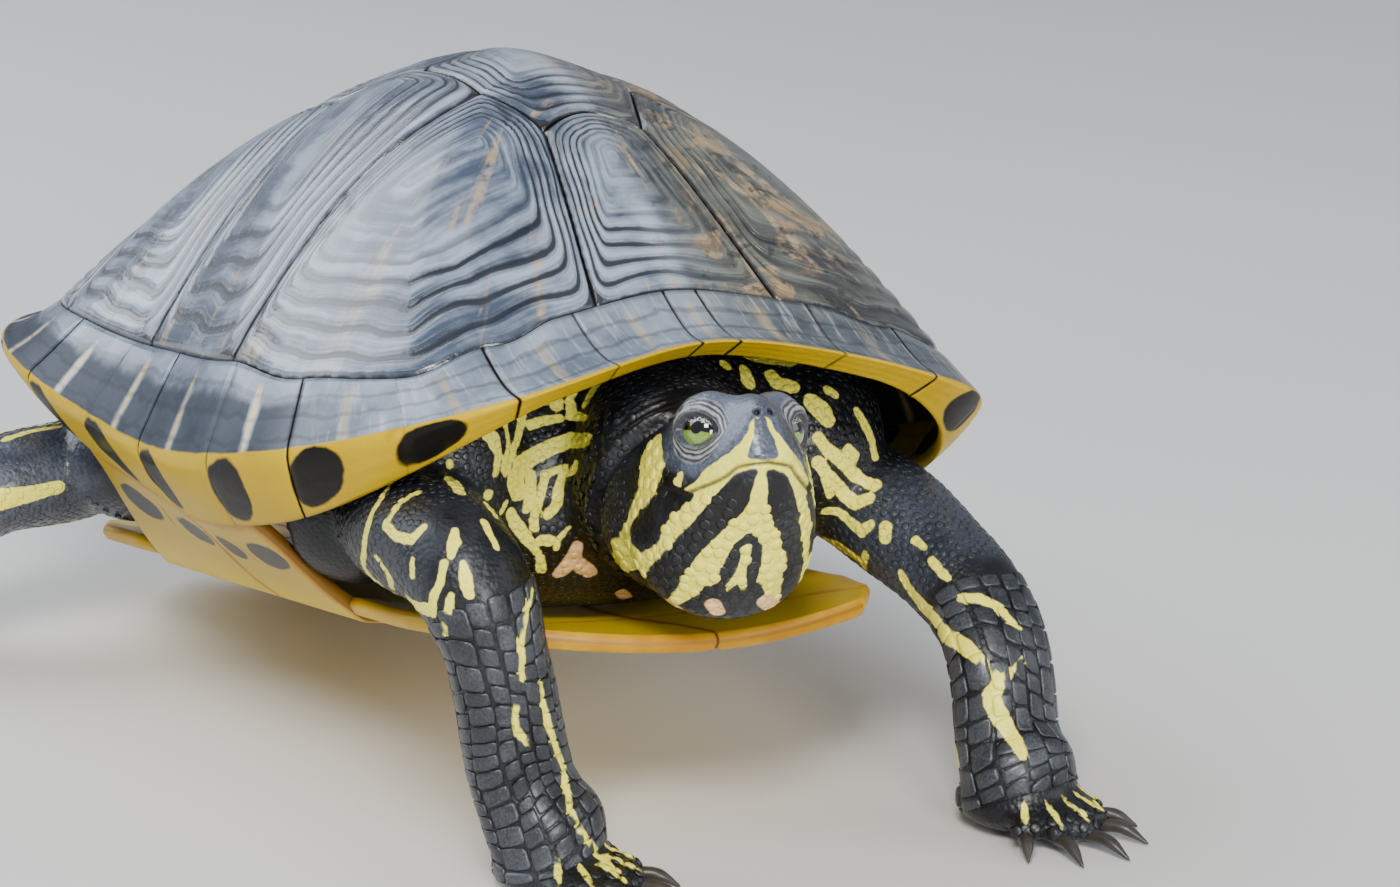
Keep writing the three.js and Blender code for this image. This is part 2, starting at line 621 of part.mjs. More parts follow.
function addFlesh() {
  const neckPoints = [[2, -50, 1], [0, -68, -1], [-2, -84, -2.5], [-3, -96, -7], [-3.6, -99.5, -8.6]].map(vec);
  const neckSizes = [[0, 17, 17], [0.4, 18.8, 18.2], [0.7, 18.4, 17.6], [1, 17.4, 16.6]];
  const neck = { points: neckPoints, sizes: neckSizes, side: vec([1, 0, 0]), around: 18, along: 6 };
  const tail = {
    points: [[0, 62, -8], [0, 80, -14], [1, 98, -22], [3, 112, -28]].map(vec),
    sizes: [[0, 9, 8], [0.4, 7.5, 6.8], [0.8, 3.4, 3], [1, 1.2, 1.1]],
    side: vec([1, 0, 0]), around: 10, along: 7,
  };
  let trunkPart = trunkSolid();
  trunkPart = trunkPart.subtract(toManifold(limb({ ...neck, grow: flesh.gap })));
  trunkPart = trunkPart.subtract(toManifold(limb({ ...tail, grow: flesh.gap })));
  const toBody = body.matrix.clone().invert();
  const bodyFrame = (manifold) => manifold.transform(toBody.toArray());

  for (const side of ['left', 'right']) {
    const outward = side === 'left' ? 1 : -1;
    const arm = limbParts(arms[side], toes.fore, vec([1, 0, 0]));
    const leg = limbParts(legs[side], toes.hind, vec([0, 1, 0.2 * outward]));
    trunkPart = trunkPart.subtract(bodyFrame(arm.grown)).subtract(bodyFrame(leg.grown));
    addPart(animal, `upper_arm_${side}`, fromManifold(arm.upper), materials.skin);
    addPart(animal, `forearm_${side}`, fromManifold(arm.lower), materials.skin);
    addPart(animal, `forefoot_${side}`, fromManifold(arm.foot), materials.skin);
    addPart(animal, `thigh_${side}`, fromManifold(leg.upper), materials.skin);
    addPart(animal, `shank_${side}`, fromManifold(leg.lower), materials.skin);
    addPart(animal, `hindfoot_${side}`, fromManifold(leg.foot), materials.skin);
    addPart(body, `eye_${side}`, fromManifold(eyeSolid(outward)), materials.eye);
  }
  const headPart = headSolid().subtract(eyeSolid(1, flesh.gap)).subtract(eyeSolid(-1, flesh.gap));
  const neckPart = toManifold(limb(neck)).subtract(headSolid(flesh.gap));
  addPart(body, 'head', fromManifold(headPart), materials.skin);
  addPart(body, 'neck', fromManifold(neckPart), materials.skin);
  addPart(body, 'tail', limb(tail), materials.skin);
  addPart(body, 'trunk', fromManifold(trunkPart), materials.skin);
}

addVertebrals();
addCostals();
addMarginals();
addPlastron();
addFlesh();
animal.position.set(pose.shiftX, pose.shiftY, 0);

export default animal;
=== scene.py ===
import math
import bpy
import bmesh
import numpy as np
from mathutils import Euler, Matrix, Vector
from mathutils.bvhtree import BVHTree


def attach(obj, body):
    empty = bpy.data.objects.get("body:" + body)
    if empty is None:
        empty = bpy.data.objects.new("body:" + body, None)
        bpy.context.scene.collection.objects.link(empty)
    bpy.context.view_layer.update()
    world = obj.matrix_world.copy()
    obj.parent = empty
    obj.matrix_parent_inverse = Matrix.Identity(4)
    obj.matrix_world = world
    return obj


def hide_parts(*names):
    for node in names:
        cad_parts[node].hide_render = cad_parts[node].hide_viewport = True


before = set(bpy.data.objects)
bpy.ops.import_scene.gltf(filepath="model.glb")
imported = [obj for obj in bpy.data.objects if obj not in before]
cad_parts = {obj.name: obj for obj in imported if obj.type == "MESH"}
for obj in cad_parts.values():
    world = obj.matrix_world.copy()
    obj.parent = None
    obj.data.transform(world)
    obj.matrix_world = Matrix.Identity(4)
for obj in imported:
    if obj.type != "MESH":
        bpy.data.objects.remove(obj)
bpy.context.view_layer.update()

# Lengths are millimetres until a mesh is made. The shell is worked out lying level and is then tipped.
stance = {"frontUp": 7.47, "rightUp": 4.5, "rimHeight": 49.5, "shift": (0.37, 13.75, 0)}
aim = {"place": (-323.03, -632.07, 234.05), "turn": (75, 0, -30.67), "lens": 105.8}


# Numbers.

def ease(x):
    x = np.clip(x, 0, 1)
    return x * x * (3 - 2 * x)


def smooth(low, high, x):
    return ease((x - low) / (high - low))


def lerp(a, b, t):
    return a + (b - a) * t


def readTable(rows, at, column=1, eased=False):
    table = np.array(rows, float)
    places, values = table[:, 0], table[:, column]
    i = np.clip(np.searchsorted(places, at, side="right") - 1, 0, len(places) - 2)
    t = np.clip((at - places[i]) / (places[i + 1] - places[i]), 0, 1)
    if eased:
        t = ease(t)
    return values[i] + (values[i + 1] - values[i]) * t


def unit(v):
    return v / np.maximum(np.linalg.norm(v, axis=-1, keepdims=True), 1e-9)


def tipMatrix():
    a, b = math.radians(-stance["frontUp"]), math.radians(stance["rightUp"])
    aboutX = np.array([[1, 0, 0], [0, math.cos(a), -math.sin(a)], [0, math.sin(a), math.cos(a)]])
    aboutY = np.array([[math.cos(b), 0, math.sin(b)], [0, 1, 0], [-math.sin(b), 0, math.cos(b)]])
    return aboutX @ aboutY


tip = tipMatrix()


def standPoint(p):
    return np.asarray(p, float) @ tip.T + np.array([0, 0, stance["rimHeight"]])


def layPoint(p):
    return (np.asarray(p, float) - np.array([0, 0, stance["rimHeight"]])) @ tip


def inScene(p):
    return (np.asarray(p, float) + np.array(stance["shift"])) * 0.001


# Meshes.

def places(bm):
    bm.verts.ensure_lookup_table()
    return np.array([v.co[:] for v in bm.verts])


def moveTo(bm, p):
    for v, co in zip(bm.verts, np.asarray(p).tolist()):
        v.co = co


def addPiece(name, bm, paint, nodes=(), values=None):
    bmesh.ops.recalc_face_normals(bm, faces=bm.faces[:])
    mesh = bpy.data.meshes.new(name)
    bm.to_mesh(mesh)
    bm.free()
    return dressPiece(name, mesh, paint, nodes, values)


def dressPiece(name, mesh, paint, nodes=(), values=None):
    for key, numbers in (values or {}).items():
        layer = mesh.attributes.new(key, "FLOAT", "POINT")
        layer.data.foreach_set("value", np.asarray(numbers, np.float32))
    mesh.polygons.foreach_set("use_smooth", [True] * len(mesh.polygons))
    mesh.materials.append(paint.material)
    piece = bpy.data.objects.new(name, mesh)
    bpy.context.scene.collection.objects.link(piece)
    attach(piece, "root")
    if nodes:
        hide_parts(*nodes)
    return piece


# Materials.

class Wire:
    def __init__(self, paint, socket):
        self.paint, self.socket = paint, socket

    def maths(self, operation, *others):
        return self.paint.node("ShaderNodeMath", {"operation": operation}, [self, *others])

    def __add__(self, other):
        return self.maths("ADD", other)

    __radd__ = __add__

    def __sub__(self, other):
        return self.maths("SUBTRACT", other)

    def __rsub__(self, other):
        return self.paint.node("ShaderNodeMath", {"operation": "SUBTRACT"}, [other, self])

    def __mul__(self, other):
        return self.maths("MULTIPLY", other)

    __rmul__ = __mul__

    def __truediv__(self, other):
        return self.maths("DIVIDE", other)


class Paint:
    def __init__(self, name, **constants):
        self.material = bpy.data.materials.new(name)
        self.material.use_nodes = True
        self.tree = self.material.node_tree
        self.shader = self.tree.nodes["Principled BSDF"]
        for socket, value in constants.items():
            self.shader.inputs[socket.replace("_", " ")].default_value = value

    def node(self, kind, settings=None, inputs=None, out=0):
        node = self.tree.nodes.new(kind)
        for key, value in (settings or {}).items():
            setattr(node, key, value)
        pairs = enumerate(inputs) if isinstance(inputs, list) else (inputs or {}).items()
        for key, value in pairs:
            if isinstance(value, Wire):
                self.tree.links.new(value.socket, node.inputs[key])
            elif isinstance(value, tuple) and len(value) == 3 and node.inputs[key].type == "RGBA":
                node.inputs[key].default_value = (*value, 1)
            else:
                node.inputs[key].default_value = value
        return Wire(self, node.outputs[out])

    def attribute(self, name):
        return self.node("ShaderNodeAttribute", {"attribute_name": name}, out="Fac")

    def where(self):
        return self.node("ShaderNodeTexCoord", out="Object")

    def noise(self, scale, detail=3, rough=0.5, place=None, warp=0):
        settings = {"Scale": scale, "Detail": detail, "Roughness": rough, "Distortion": warp}
        return self.node("ShaderNodeTexNoise", None, {"Vector": place or self.where(), **settings})

    def cells(self, scale, feature="F1", place=None, random=1):
        settings = {"Scale": scale, "Randomness": random}
        return self.node("ShaderNodeTexVoronoi", {"feature": feature},
                         {"Vector": place or self.where(), **settings})

    def step(self, value, low, high, start=0, end=1):
        ends = {"From Min": low, "From Max": high, "To Min": start, "To Max": end}
        return self.node("ShaderNodeMapRange", {"interpolation_type": "SMOOTHSTEP"}, {"Value": value, **ends})

    def mix(self, factor, a, b):
        return self.node("ShaderNodeMix", {"data_type": "RGBA"}, {0: factor, 6: a, 7: b}, out=2)

    def bump(self, height, distance, strength=1, under=None):
        sockets = {"Height": height, "Distance": distance, "Strength": strength}
        if under:
            sockets["Normal"] = under
        return self.node("ShaderNodeBump", None, sockets)

    def feed(self, **sockets):
        for key, wire in sockets.items():
            self.tree.links.new(wire.socket, self.shader.inputs[key.replace("_", " ")])
        return self


# Carapace surface, over disk coordinates: 1 is the rim, -1 along is the nape.

shell = {
    "halfLength": 100, "halfWidth": 63.5, "widerBehind": 0.023, "squareness": (2.744, 2.45),
    "threeLobe": -0.0407, "fourLobe": -0.0495, "rimRise": (9.05, 3.07, -0.874),
    "height": 63.25, "bellShare": 0.239, "domePower": 2.41, "peakShift": -0.186,
    "keel": (1.6, 8, -0.25, 0.45),
    "ring": [(0, 0.85), (25, 0.85), (34, 0.875), (44, 0.92), (56, 0.9), (69, 0.868), (90, 0.86), (180, 0.86)],
    "flare": [(0, 5), (28, 5), (48, 0.6), (75, 0), (110, 1.5), (150, 4), (180, 4)],
    "flarePower": 6, "plate": 2.2,
}


def fromNape(angle):
    return np.abs(np.degrees(angle))


def rimScale(angle):
    n = lerp(shell["squareness"][0], shell["squareness"][1], smooth(100, 150, fromNape(angle)))
    both = np.abs(np.sin(angle)) ** n + np.abs(np.cos(angle)) ** n
    lobes = 1 + shell["threeLobe"] * np.cos(3 * angle) + shell["fourLobe"] * np.cos(4 * angle)
    return both ** (-1 / n) * lobes / (1 + shell["fourLobe"])


def rimHeight(angle):
    two, three, four = shell["rimRise"]
    return two * (np.cos(2 * angle) + 1) + three * np.cos(3 * angle) + four * np.cos(4 * angle)


def domePoint(across, along):
    across, along = np.broadcast_arrays(np.asarray(across, float), np.asarray(along, float))
    r = np.hypot(across, along) + 1e-9
    angle = np.arctan2(across, -along)
    m = rimScale(angle)
    shift = shell["peakShift"]
    dy = along - shift
    square = across ** 2 + dy ** 2 + 1e-9
    lean = shift * dy
    reach = square / (np.sqrt(lean ** 2 + square * (1 - shift ** 2)) - lean)
    bell = 0.5 * (1 + np.cos(np.pi * reach))
    dome = shell["bellShare"] * bell + (1 - shell["bellShare"]) * (1 - reach ** shell["domePower"])
    x = shell["halfWidth"] * m * across * (1 + shell["widerBehind"] * m * along)
    power = shell["flarePower"]
    top = power / (power + 1)
    flare = (readTable(shell["flare"], fromNape(angle), 1, True)
             * r ** power * (1 - r) / (top ** power * (1 - top)))
    rise, width, middle, length = shell["keel"]
    keel = rise * np.exp(-(x / width) ** 2 - ((along - middle) / length) ** 2)
    z = rimHeight(angle) * r ** 3 + shell["height"] * dome - flare + keel
    return np.stack([x, shell["halfLength"] * m * along, z], -1)


def domeNormal(across, along):
    step = 0.004
    du = domePoint(across + step, along * (1 - step)) - domePoint(across - step, along * (1 - step))
    dv = domePoint(across * (1 - step), along + step) - domePoint(across * (1 - step), along - step)
    n = unit(np.cross(du, dv))
    return n * np.sign(n[..., 2:] + 1e-9)


def ringRadius(degrees):
    d = np.abs(degrees)
    return readTable(shell["ring"], np.where(d > 180, 360 - d, d), 1, True)


def ringPoint(degrees):
    r = ringRadius(degrees)
    return np.stack([r * np.sin(np.radians(degrees)), -r * np.cos(np.radians(degrees))], -1)


# Scutes of the back.

scutes = {
    "seamEnds": [(0.145, -0.52), (0.165, -0.13), (0.175, 0.26), (0.19, 0.6)],
    "corners": [(0.2, -0.35), (0.285, 0.07), (0.265, 0.43)],
    "ringAngles": [17.5, 69, 95, 122, 152],
    "gap": 0.1, "seamDepth": 0.75, "seamWidth": 0.6, "swell": 0.5,
    "ringDepth": 0.38, "ringsPerScute": 9,
}


def slabOf(columns, rows):
    bm = bmesh.new()
    bmesh.ops.create_grid(bm, x_segments=columns, y_segments=rows, size=0.5)
    span = max(v.co.x for v in bm.verts)
    made = bmesh.ops.extrude_face_region(bm, geom=bm.faces[:], use_keep_orig=True)
    inner = {v for v in made["geom"] if isinstance(v, bmesh.types.BMVert)}
    bm.verts.index_update()
    p = places(bm) / span * 0.5
    layer = np.array([1.0 if v in inner else 0.0 for v in bm.verts])
    return bm, p[:, 0] + 0.5, p[:, 1] + 0.5, layer


def through(points):
    points = np.array(points, float)

    def edge(t):
        k = np.minimum((t * (len(points) - 1)).astype(int), len(points) - 2)
        s = (t * (len(points) - 1) - k)[:, None]
        return points[k] * (1 - s) + points[k + 1] * s
    return edge


def alongRing(start, end):
    return lambda t: ringPoint(lerp(start, end, t))


def mirrored(edge, side):
    return lambda t: edge(t) * np.array([side, 1])


def nearest(p, line):
    return np.sqrt(((p[:, None, :] - line[None]) ** 2).sum(-1).min(1))


def scutePiece(name, medial, lateral, areola, size, paint, seed=0):
    columns, rows = max(int(size[0] / 0.75), 8), max(int(size[1] / 0.75), 8)
    bm, u, v, layer = slabOf(columns, rows)
    gu, gv = scutes["gap"] / size[0], scutes["gap"] / size[1]
    u, v = lerp(gu, 1 - gu, u), lerp(gv, 1 - gv, v)

    def patch(uu, vv):
        return medial(vv) * (1 - uu)[:, None] + lateral(vv) * uu[:, None]

    disk = patch(u, v)
    surface = domePoint(disk[:, 0], disk[:, 1])
    normal = domeNormal(disk[:, 0], disk[:, 1])
    t = np.linspace(0, 1, 90)
    borders = [patch(0 * t, t), patch(0 * t + 1, t), patch(t, 0 * t), patch(t, 0 * t + 1)]
    heart = patch(np.array([areola[0]]), np.array([areola[1]]))
    heartPoint = domePoint(heart[:, 0], heart[:, 1])
    distances = []
    shares = []
    for border in borders:
        line = domePoint(border[:, 0], border[:, 1])
        d = nearest(surface, line)
        distances.append(d)
        shares.append(np.clip(1 - d / nearest(heartPoint, line)[0], 0, 1))
    edge = np.min(distances, 0)
    ring = (np.array(shares) ** 11).sum(0) ** (1 / 11)
    wander = (0.016 * np.sin(surface @ np.array([0.17, 0.11, 0.13]) + seed)
              + 0.009 * np.sin(surface @ np.array([-0.35, 0.42, 0.3])))
    ring = np.clip(ring + wander * smooth(0.2, 0.5, ring) * smooth(0, 0.12, 1 - ring), 0, 1)
    phase = (ring * scutes["ringsPerScute"]) % 1
    groove = np.exp(-(np.minimum(phase, 1 - phase) / 0.2) ** 2)
    lift = (scutes["swell"] * (1 - np.exp(-edge / 5))
            - scutes["seamDepth"] * np.exp(-(edge / scutes["seamWidth"]) ** 2))
    lift = lift - scutes["ringDepth"] * groove * smooth(0.36, 0.56, ring) * smooth(0.5, 1.6, edge)
    depth = np.where(layer > 0, shell["plate"], -lift)
    p = standPoint(surface - normal * depth[:, None])
    moveTo(bm, inScene(p))
    values = {"ring": ring, "edge": edge, "across": u, "along": v, "seed": np.full(len(u), seed),
              "leftward": smooth(-8, 12, surface[:, 0])}
    return addPiece(name, bm, paint, [name], values)


def buildBack(paint):
    ends, corners, angles = scutes["seamEnds"], scutes["corners"], scutes["ringAngles"]
    sides = [([ends[0], corners[0], ends[1]]), ([ends[1], corners[1], ends[2]]),
             ([ends[2], corners[2], ends[3]])]
    seam = through([(-ends[0][0], ends[0][1]), ends[0]])
    scutePiece("vertebral_1", seam, alongRing(-angles[0], angles[0]), (0.3, 0.5), (40, 36), paint, 1)
    for i, side in enumerate(sides):
        edge = through(side)
        scutePiece(f"vertebral_{i + 2}", mirrored(edge, -1), edge, (0.5, 0.68), (34, 44), paint, i + 2)
    seam = through([(-ends[3][0], ends[3][1]), ends[3]])
    rear = alongRing(360 - angles[4], angles[4])
    scutePiece("vertebral_5", seam, rear, (0.3, 0.5), (40, 60), paint, 6)
    medials = [[ends[0], corners[0]], [corners[0], ends[1], corners[1]], [corners[1], ends[2], corners[2]],
               [corners[2], ends[3]]]
    for word, side in (("left", 1), ("right", -1)):
        for i, points in enumerate(medials):
            medial = mirrored(through(points), side)
            lateral = mirrored(alongRing(angles[i], angles[i + 1]), side)
            size = (56, 84) if i == 0 else (56, 46)
            scutePiece(f"costal_{i + 1}_{word}", medial, lateral, (0.22, 0.62), size, paint,
                       7 + i + 4 * (side > 0))
    print("back done")


# Marginals, folded round the rim.

rim = {
    "angles": [3.4, 18.7, 31.8, 43.8, 55.9, 67.5, 84.6, 100, 115, 130, 145, 161, 179.85],
    "halfGap": 0.06, "under": (5.6, 9.5), "drop": (2.8, 11.6), "dropStart": 25, "dropFull": 60,
    "dropEnd": 108, "dropGone": 140, "lean": 3.5, "apex": 4.2, "footRise": (0.8, 2.2),
    "round": 0.07, "seamDepth": 0.4, "blotAhead": 2.6,
}


def overBridge(degrees):
    return (smooth(rim["dropStart"], rim["dropFull"], degrees)
            * (1 - smooth(rim["dropEnd"], rim["dropGone"], degrees)))


def seamLean(degrees):
    return rim["lean"] * smooth(5, 18, degrees) * (1 - smooth(34, 50, degrees))


def rimPoint(degrees, side):
    return domePoint(side * np.sin(np.radians(degrees)), -np.cos(np.radians(degrees)))


def inwardFrom(p):
    return unit(np.stack([-p[..., 0], -p[..., 1], 0 * p[..., 0]], -1))


def rimFoot(degrees, side, extra=0.0):
    p = rimPoint(degrees, side)
    over = overBridge(degrees)
    p = p + inwardFrom(p) * (lerp(*rim["under"], over) + extra)[..., None]
    p[..., 2] -= lerp(*rim["drop"], over)
    return p


def rimOutside(degrees, side, across):
    upper = np.radians(degrees + seamLean(degrees) * np.maximum(0, 1 - 2 * across))
    start = ringRadius(np.degrees(upper)) + 0.0015
    r = lerp(start, 1, np.minimum(across * 2, 1))
    top = domePoint(side * np.sin(upper) * r, -np.cos(upper) * r)
    edge = rimPoint(degrees, side)
    t = np.clip((across - 0.5) * 2, 0, 1)[:, None]
    foot = rimFoot(degrees, side)
    sag = np.zeros_like(foot)
    sag[:, 2] = 1
    belly = (edge * (1 - t) + foot * t
             + unit(edge * np.array([1, 1, 0])) * (1.1 * overBridge(degrees))[:, None] * t * (1 - t) * 4)
    return np.where((across <= 0.5)[:, None], top, belly)


def rimInside(degrees, side, across):
    upper = np.radians(degrees + seamLean(degrees) * np.maximum(0, 1 - 2 * across))
    start = ringRadius(np.degrees(upper)) + 0.0015
    r = lerp(start, 1, np.minimum(across * 2, 1))
    u, v = side * np.sin(upper) * r, -np.cos(upper) * r
    inner = domePoint(u, v) - domeNormal(u, v) * shell["plate"]
    apex = rimPoint(degrees, side)
    apex = apex + inwardFrom(apex) * rim["apex"]
    apex[:, 2] -= 1.2
    foot = rimFoot(degrees, side, 0.6)
    foot[:, 2] += lerp(*rim["footRise"], overBridge(degrees))
    s = smooth(0.2, 0.5, across)[:, None]
    t = np.clip((across - 0.5) * 2, 0, 1)[:, None]
    return np.where((across <= 0.5)[:, None], inner * (1 - s) + apex * s, apex * (1 - t) + foot * t)


def rimPiece(name, start, end, side, seams, paint):
    length = 72 * math.radians(end - start) * 1.15
    bm, u, v, layer = slabOf(max(int(length / 0.7), 10), 34)
    degrees = lerp(start, end, u)
    signed = np.where(degrees < 0, -side, side) if start < 0 else np.full(len(u), side)
    size = np.abs(degrees)
    outside = 0
    for k in np.linspace(-1, 1, 7):
        outside = outside + rimOutside(
            size, signed, np.clip(v + k * rim["round"] * smooth(0, 0.2, v) * smooth(0, 0.2, 1 - v), 0, 1)) / 7
    p = np.where((layer > 0)[:, None], rimInside(size, signed, v), outside)
    perDegree = np.linalg.norm(rimPoint(size + 0.5, signed) - rimPoint(size - 0.5, signed), axis=1)
    seamDistance = np.min([np.abs(degrees - s) for s in seams], 0) * perDegree
    middles = [(a + b) / 2 for a, b in zip(seams, seams[1:])]
    barDistance = np.min([np.abs(degrees - m) for m in middles], 0) * perDegree
    normal = unit(outside - standCentre)
    groove = rim["seamDepth"] * np.exp(-(np.minimum(seamDistance, 9 * np.minimum(v + 0.012, 1)) / 0.5) ** 2)
    p = p - normal * (groove * (layer == 0))[:, None]
    moveTo(bm, inScene(standPoint(p)))
    blots = [s - rim["blotAhead"] for s in seams if s > 40]
    blotDistance = np.min([np.abs(degrees - s) for s in blots] + [np.full(len(u), 90.0)], 0) * perDegree
    values = {"over": v, "seamAway": seamDistance, "barAway": barDistance, "blotAway": blotDistance,
              "degrees": size, "bridge": overBridge(size), "leftward": smooth(-8, 12, p[:, 0])}
    return addPiece(name, bm, paint, [name], values)


standCentre = np.array([0, 0, 0])


def buildRim(paint):
    angles = rim["angles"]
    for word, side in (("left", 1), ("right", -1)):
        for i in range(0, 12, 2):
            name = f"marginals_{i + 1}_{i + 2}_{word}"
            rimPiece(name, angles[i] + rim["halfGap"], angles[i + 2] - rim["halfGap"], side,
                     angles[i:i + 3], paint)
    half = angles[0] - rim["halfGap"]
    rimPiece("nuchal", -half, half, 1, [-angles[0], angles[0]], paint)
    print("rim done")


# Plastron and bridges.

belly = {
    "floor": -31, "thickness": 3, "lipRise": 1.5, "lipStart": -58, "lipEnd": -92, "sideRise": 4.5,
    "lobeWidth": 42, "flatEdge": 38, "wingStart": 0.6, "gap": 0.08, "seamDepth": 0.45, "edgeRound": 1.1,
    "edge": [(-95, 14), (-92, 25), (-86, 33), (-78, 39), (-66, 42), (-46, 42), (-36, 38), (30, 38),
             (46, 41), (62, 41), (76, 35), (88, 22), (93, 10)],
    "seams": {"front": (-94, -87), "gular": (-66, -81), "humeral": (-47, -46), "pectoral": (-19, -12),
              "abdominal": (26, 40), "femoral": (54, 66), "tail": (86, 92)},
    "bridgeAngles": (64.5, 85, 112.5),
}


def bellyFloor(across, along):
    lip = belly["lipRise"] * smooth(-belly["lipStart"], -belly["lipEnd"], -along)
    return belly["floor"] + lip + belly["sideRise"] * (across / belly["lobeWidth"]) ** 2


def lobePiece(name, front, rear, side, freeEnd, paint):
    bm, u, v, layer = slabOf(52, 40)
    gap = belly["gap"]
    y = lerp(lerp(front[0], front[1], u * u) + gap, lerp(rear[0], rear[1], u * u) - gap, v)
    x = lerp(gap, readTable(belly["edge"], y), u)
    freeEdge = (1 - u) * readTable(belly["edge"], y)
    if freeEnd:
        freeEdge = np.minimum(freeEdge, (v if freeEnd < 0 else 1 - v) * 26)
    seam = np.minimum(x, np.minimum(v, 1 - v) * np.abs(rear[0] - front[0]) + 0.3)
    lift = rounding(freeEdge, belly["edgeRound"], 1.5)
    groove = belly["seamDepth"] * np.exp(-(seam / 0.6) ** 2)
    z = bellyFloor(x, y)
    z = np.where(layer > 0, z + belly["thickness"] - lift, z + lift + groove)
    p = np.stack([side * x, y, z], -1)
    moveTo(bm, inScene(standPoint(p)))
    values = {"edge": seam, "free": freeEdge, "bridge": np.zeros(len(u))}
    return addPiece(name, bm, paint, [name], values)


def rounding(distance, radius, reach):
    s = np.clip(distance / reach, 0, 1)
    return radius * (1 - np.sqrt(np.clip(1 - (1 - s) ** 2, 0, 1)))


def bridgePiece(name, front, rear, angles, side, paint):
    bm, u, v, layer = slabOf(84, 56)
    gap = belly["gap"]
    flat = np.minimum(u / belly["wingStart"], 1)
    x = lerp(gap, belly["flatEdge"], flat)
    outward = (x / belly["lobeWidth"]) ** 2
    y0 = lerp(front[0], front[1], outward) + gap
    y1 = lerp(rear[0], rear[1], outward) - gap
    y = lerp(y0, y1, v)
    lift = layer * belly["thickness"]
    degrees = lerp(angles[0] + 0.1, angles[1] - 0.1, v)
    foot = rimFoot(degrees, side, 0.15 + lift * 0.5)
    foot[:, 2] += lift * 0.7 - 0.1
    t = np.clip((u - belly["wingStart"]) / (1 - belly["wingStart"]), 0, 1)
    p = np.stack([side * x, y, bellyFloor(x, y) + lift], -1)
    p = p * (1 - t)[:, None] + foot * t[:, None]
    bow = np.sin(np.pi * np.clip((u - 0.35) / 0.65, 0, 1)) ** 2 * 1.6
    p[:, 0] += side * bow * 0.7
    p[:, 2] -= bow * 0.7
    seam = np.minimum(np.minimum(x, np.minimum(v, 1 - v) * np.abs(y1 - y0) + 0.2), (1 - u) * 55 + 0.2)
    groove = belly["seamDepth"] * np.exp(-(seam / 0.6) ** 2) * (layer == 0)
    p[:, 2] += groove
    moveTo(bm, inScene(standPoint(p)))
    values = {"edge": seam, "free": np.full(len(u), 20.0), "bridge": t, "way": (v * 2) % 1}
    return addPiece(name, bm, paint, [name], values)


def buildBelly(paint):
    seams, angles = belly["seams"], belly["bridgeAngles"]
    for word, side in (("left", 1), ("right", -1)):
        lobePiece(f"gular_{word}", seams["front"], seams["gular"], side, -1, paint)
        lobePiece(f"humeral_{word}", seams["gular"], seams["humeral"], side, 0, paint)
        bridgePiece(f"pectoral_{word}", seams["humeral"], seams["pectoral"], angles[:2], side, paint)
        bridgePiece(f"abdominal_{word}", seams["pectoral"], seams["abdominal"], angles[1:], side, paint)
        lobePiece(f"femoral_{word}", seams["abdominal"], seams["femoral"], side, 0, paint)
        lobePiece(f"anal_{word}", seams["femoral"], seams["tail"], side, 1, paint)
    print("underside done")


# Flesh: closed blobs, merged into one skin.

head = {
    "nostrils": (-7.5, -120.1, 11.7), "forward": (-0.185, -0.867, 0.462), "left": (0.974, -0.225, -0.032),
    # back from the nostrils, half width, top, bottom, height of the widest place, squareness above
    "sections": [(-0.6, 1.5, 1.2, -5.8, -3.2, 1.7), (0, 2.9, 2.3, -7.2, -3.8, 1.6),
                 (1.6, 4.6, 3.8, -9.2, -4.8, 1.6), (5, 7.1, 5.3, -12.2, -6.6, 1.75),
                 (9.5, 9.3, 6.1, -14.8, -8, 2.3), (14, 11.3, 6.7, -17.4, -8.8, 3.2),
                 (20, 13.6, 7.4, -20.8, -9.5, 3.6), (27, 15.2, 7.5, -23.4, -9.5, 2.8),
                 (34, 14.6, 6.2, -23.2, -9, 2.4)],
    "eyeBack": 11, "eyeSide": 5.4, "eyeUp": 0.9, "eyeRadius": 4.2, "lidHalf": (6.2, 5.8, 5.0), "lidLift": 0.9,
    "look": (0.7, 0.68, -0.1), "eyeTilt": 27,
}
headOrigin = standPoint(head["nostrils"])
headForward = unit(np.array(head["forward"])) @ tip.T
headLeft = unit(np.array(head["left"])) @ tip.T
headUp = unit(np.cross(headForward, headLeft))


def headPoint(back, left, up):
    back, left, up = (np.asarray(a, float)[..., None] for a in (back, left, up))
    return headOrigin - headForward * back + headLeft * left + headUp * up


def inHead(p):
    d = p - headOrigin
    return np.stack([-d @ headForward, d @ headLeft, d @ headUp], -1)


def splinePoints(points, count=200):
    points = np.array(points, float)
    ends = np.vstack([2 * points[0] - points[1], points, 2 * points[-1] - points[-2]])
    out = []
    for i in range(1, len(ends) - 2):
        a, b, c, d = ends[i - 1:i + 3]
        for t in np.linspace(0, 1, 40, endpoint=False):
            out.append(0.5 * (2 * b + (c - a) * t + (2 * a - 5 * b + 4 * c - d) * t * t
                              + (3 * b - a - 3 * c + d) * t ** 3))
    out = np.array(out + [points[-1]])
    run = np.concatenate([[0], np.cumsum(np.linalg.norm(np.diff(out, axis=0), axis=1))])
    even = np.linspace(0, run[-1], count)
    return np.stack([np.interp(even, run, out[:, k]) for k in range(3)], -1)


def ballOf(around, rows):
    bm = bmesh.new()
    bmesh.ops.create_uvsphere(bm, u_segments=around, v_segments=rows, radius=1)
    return bm, places(bm)


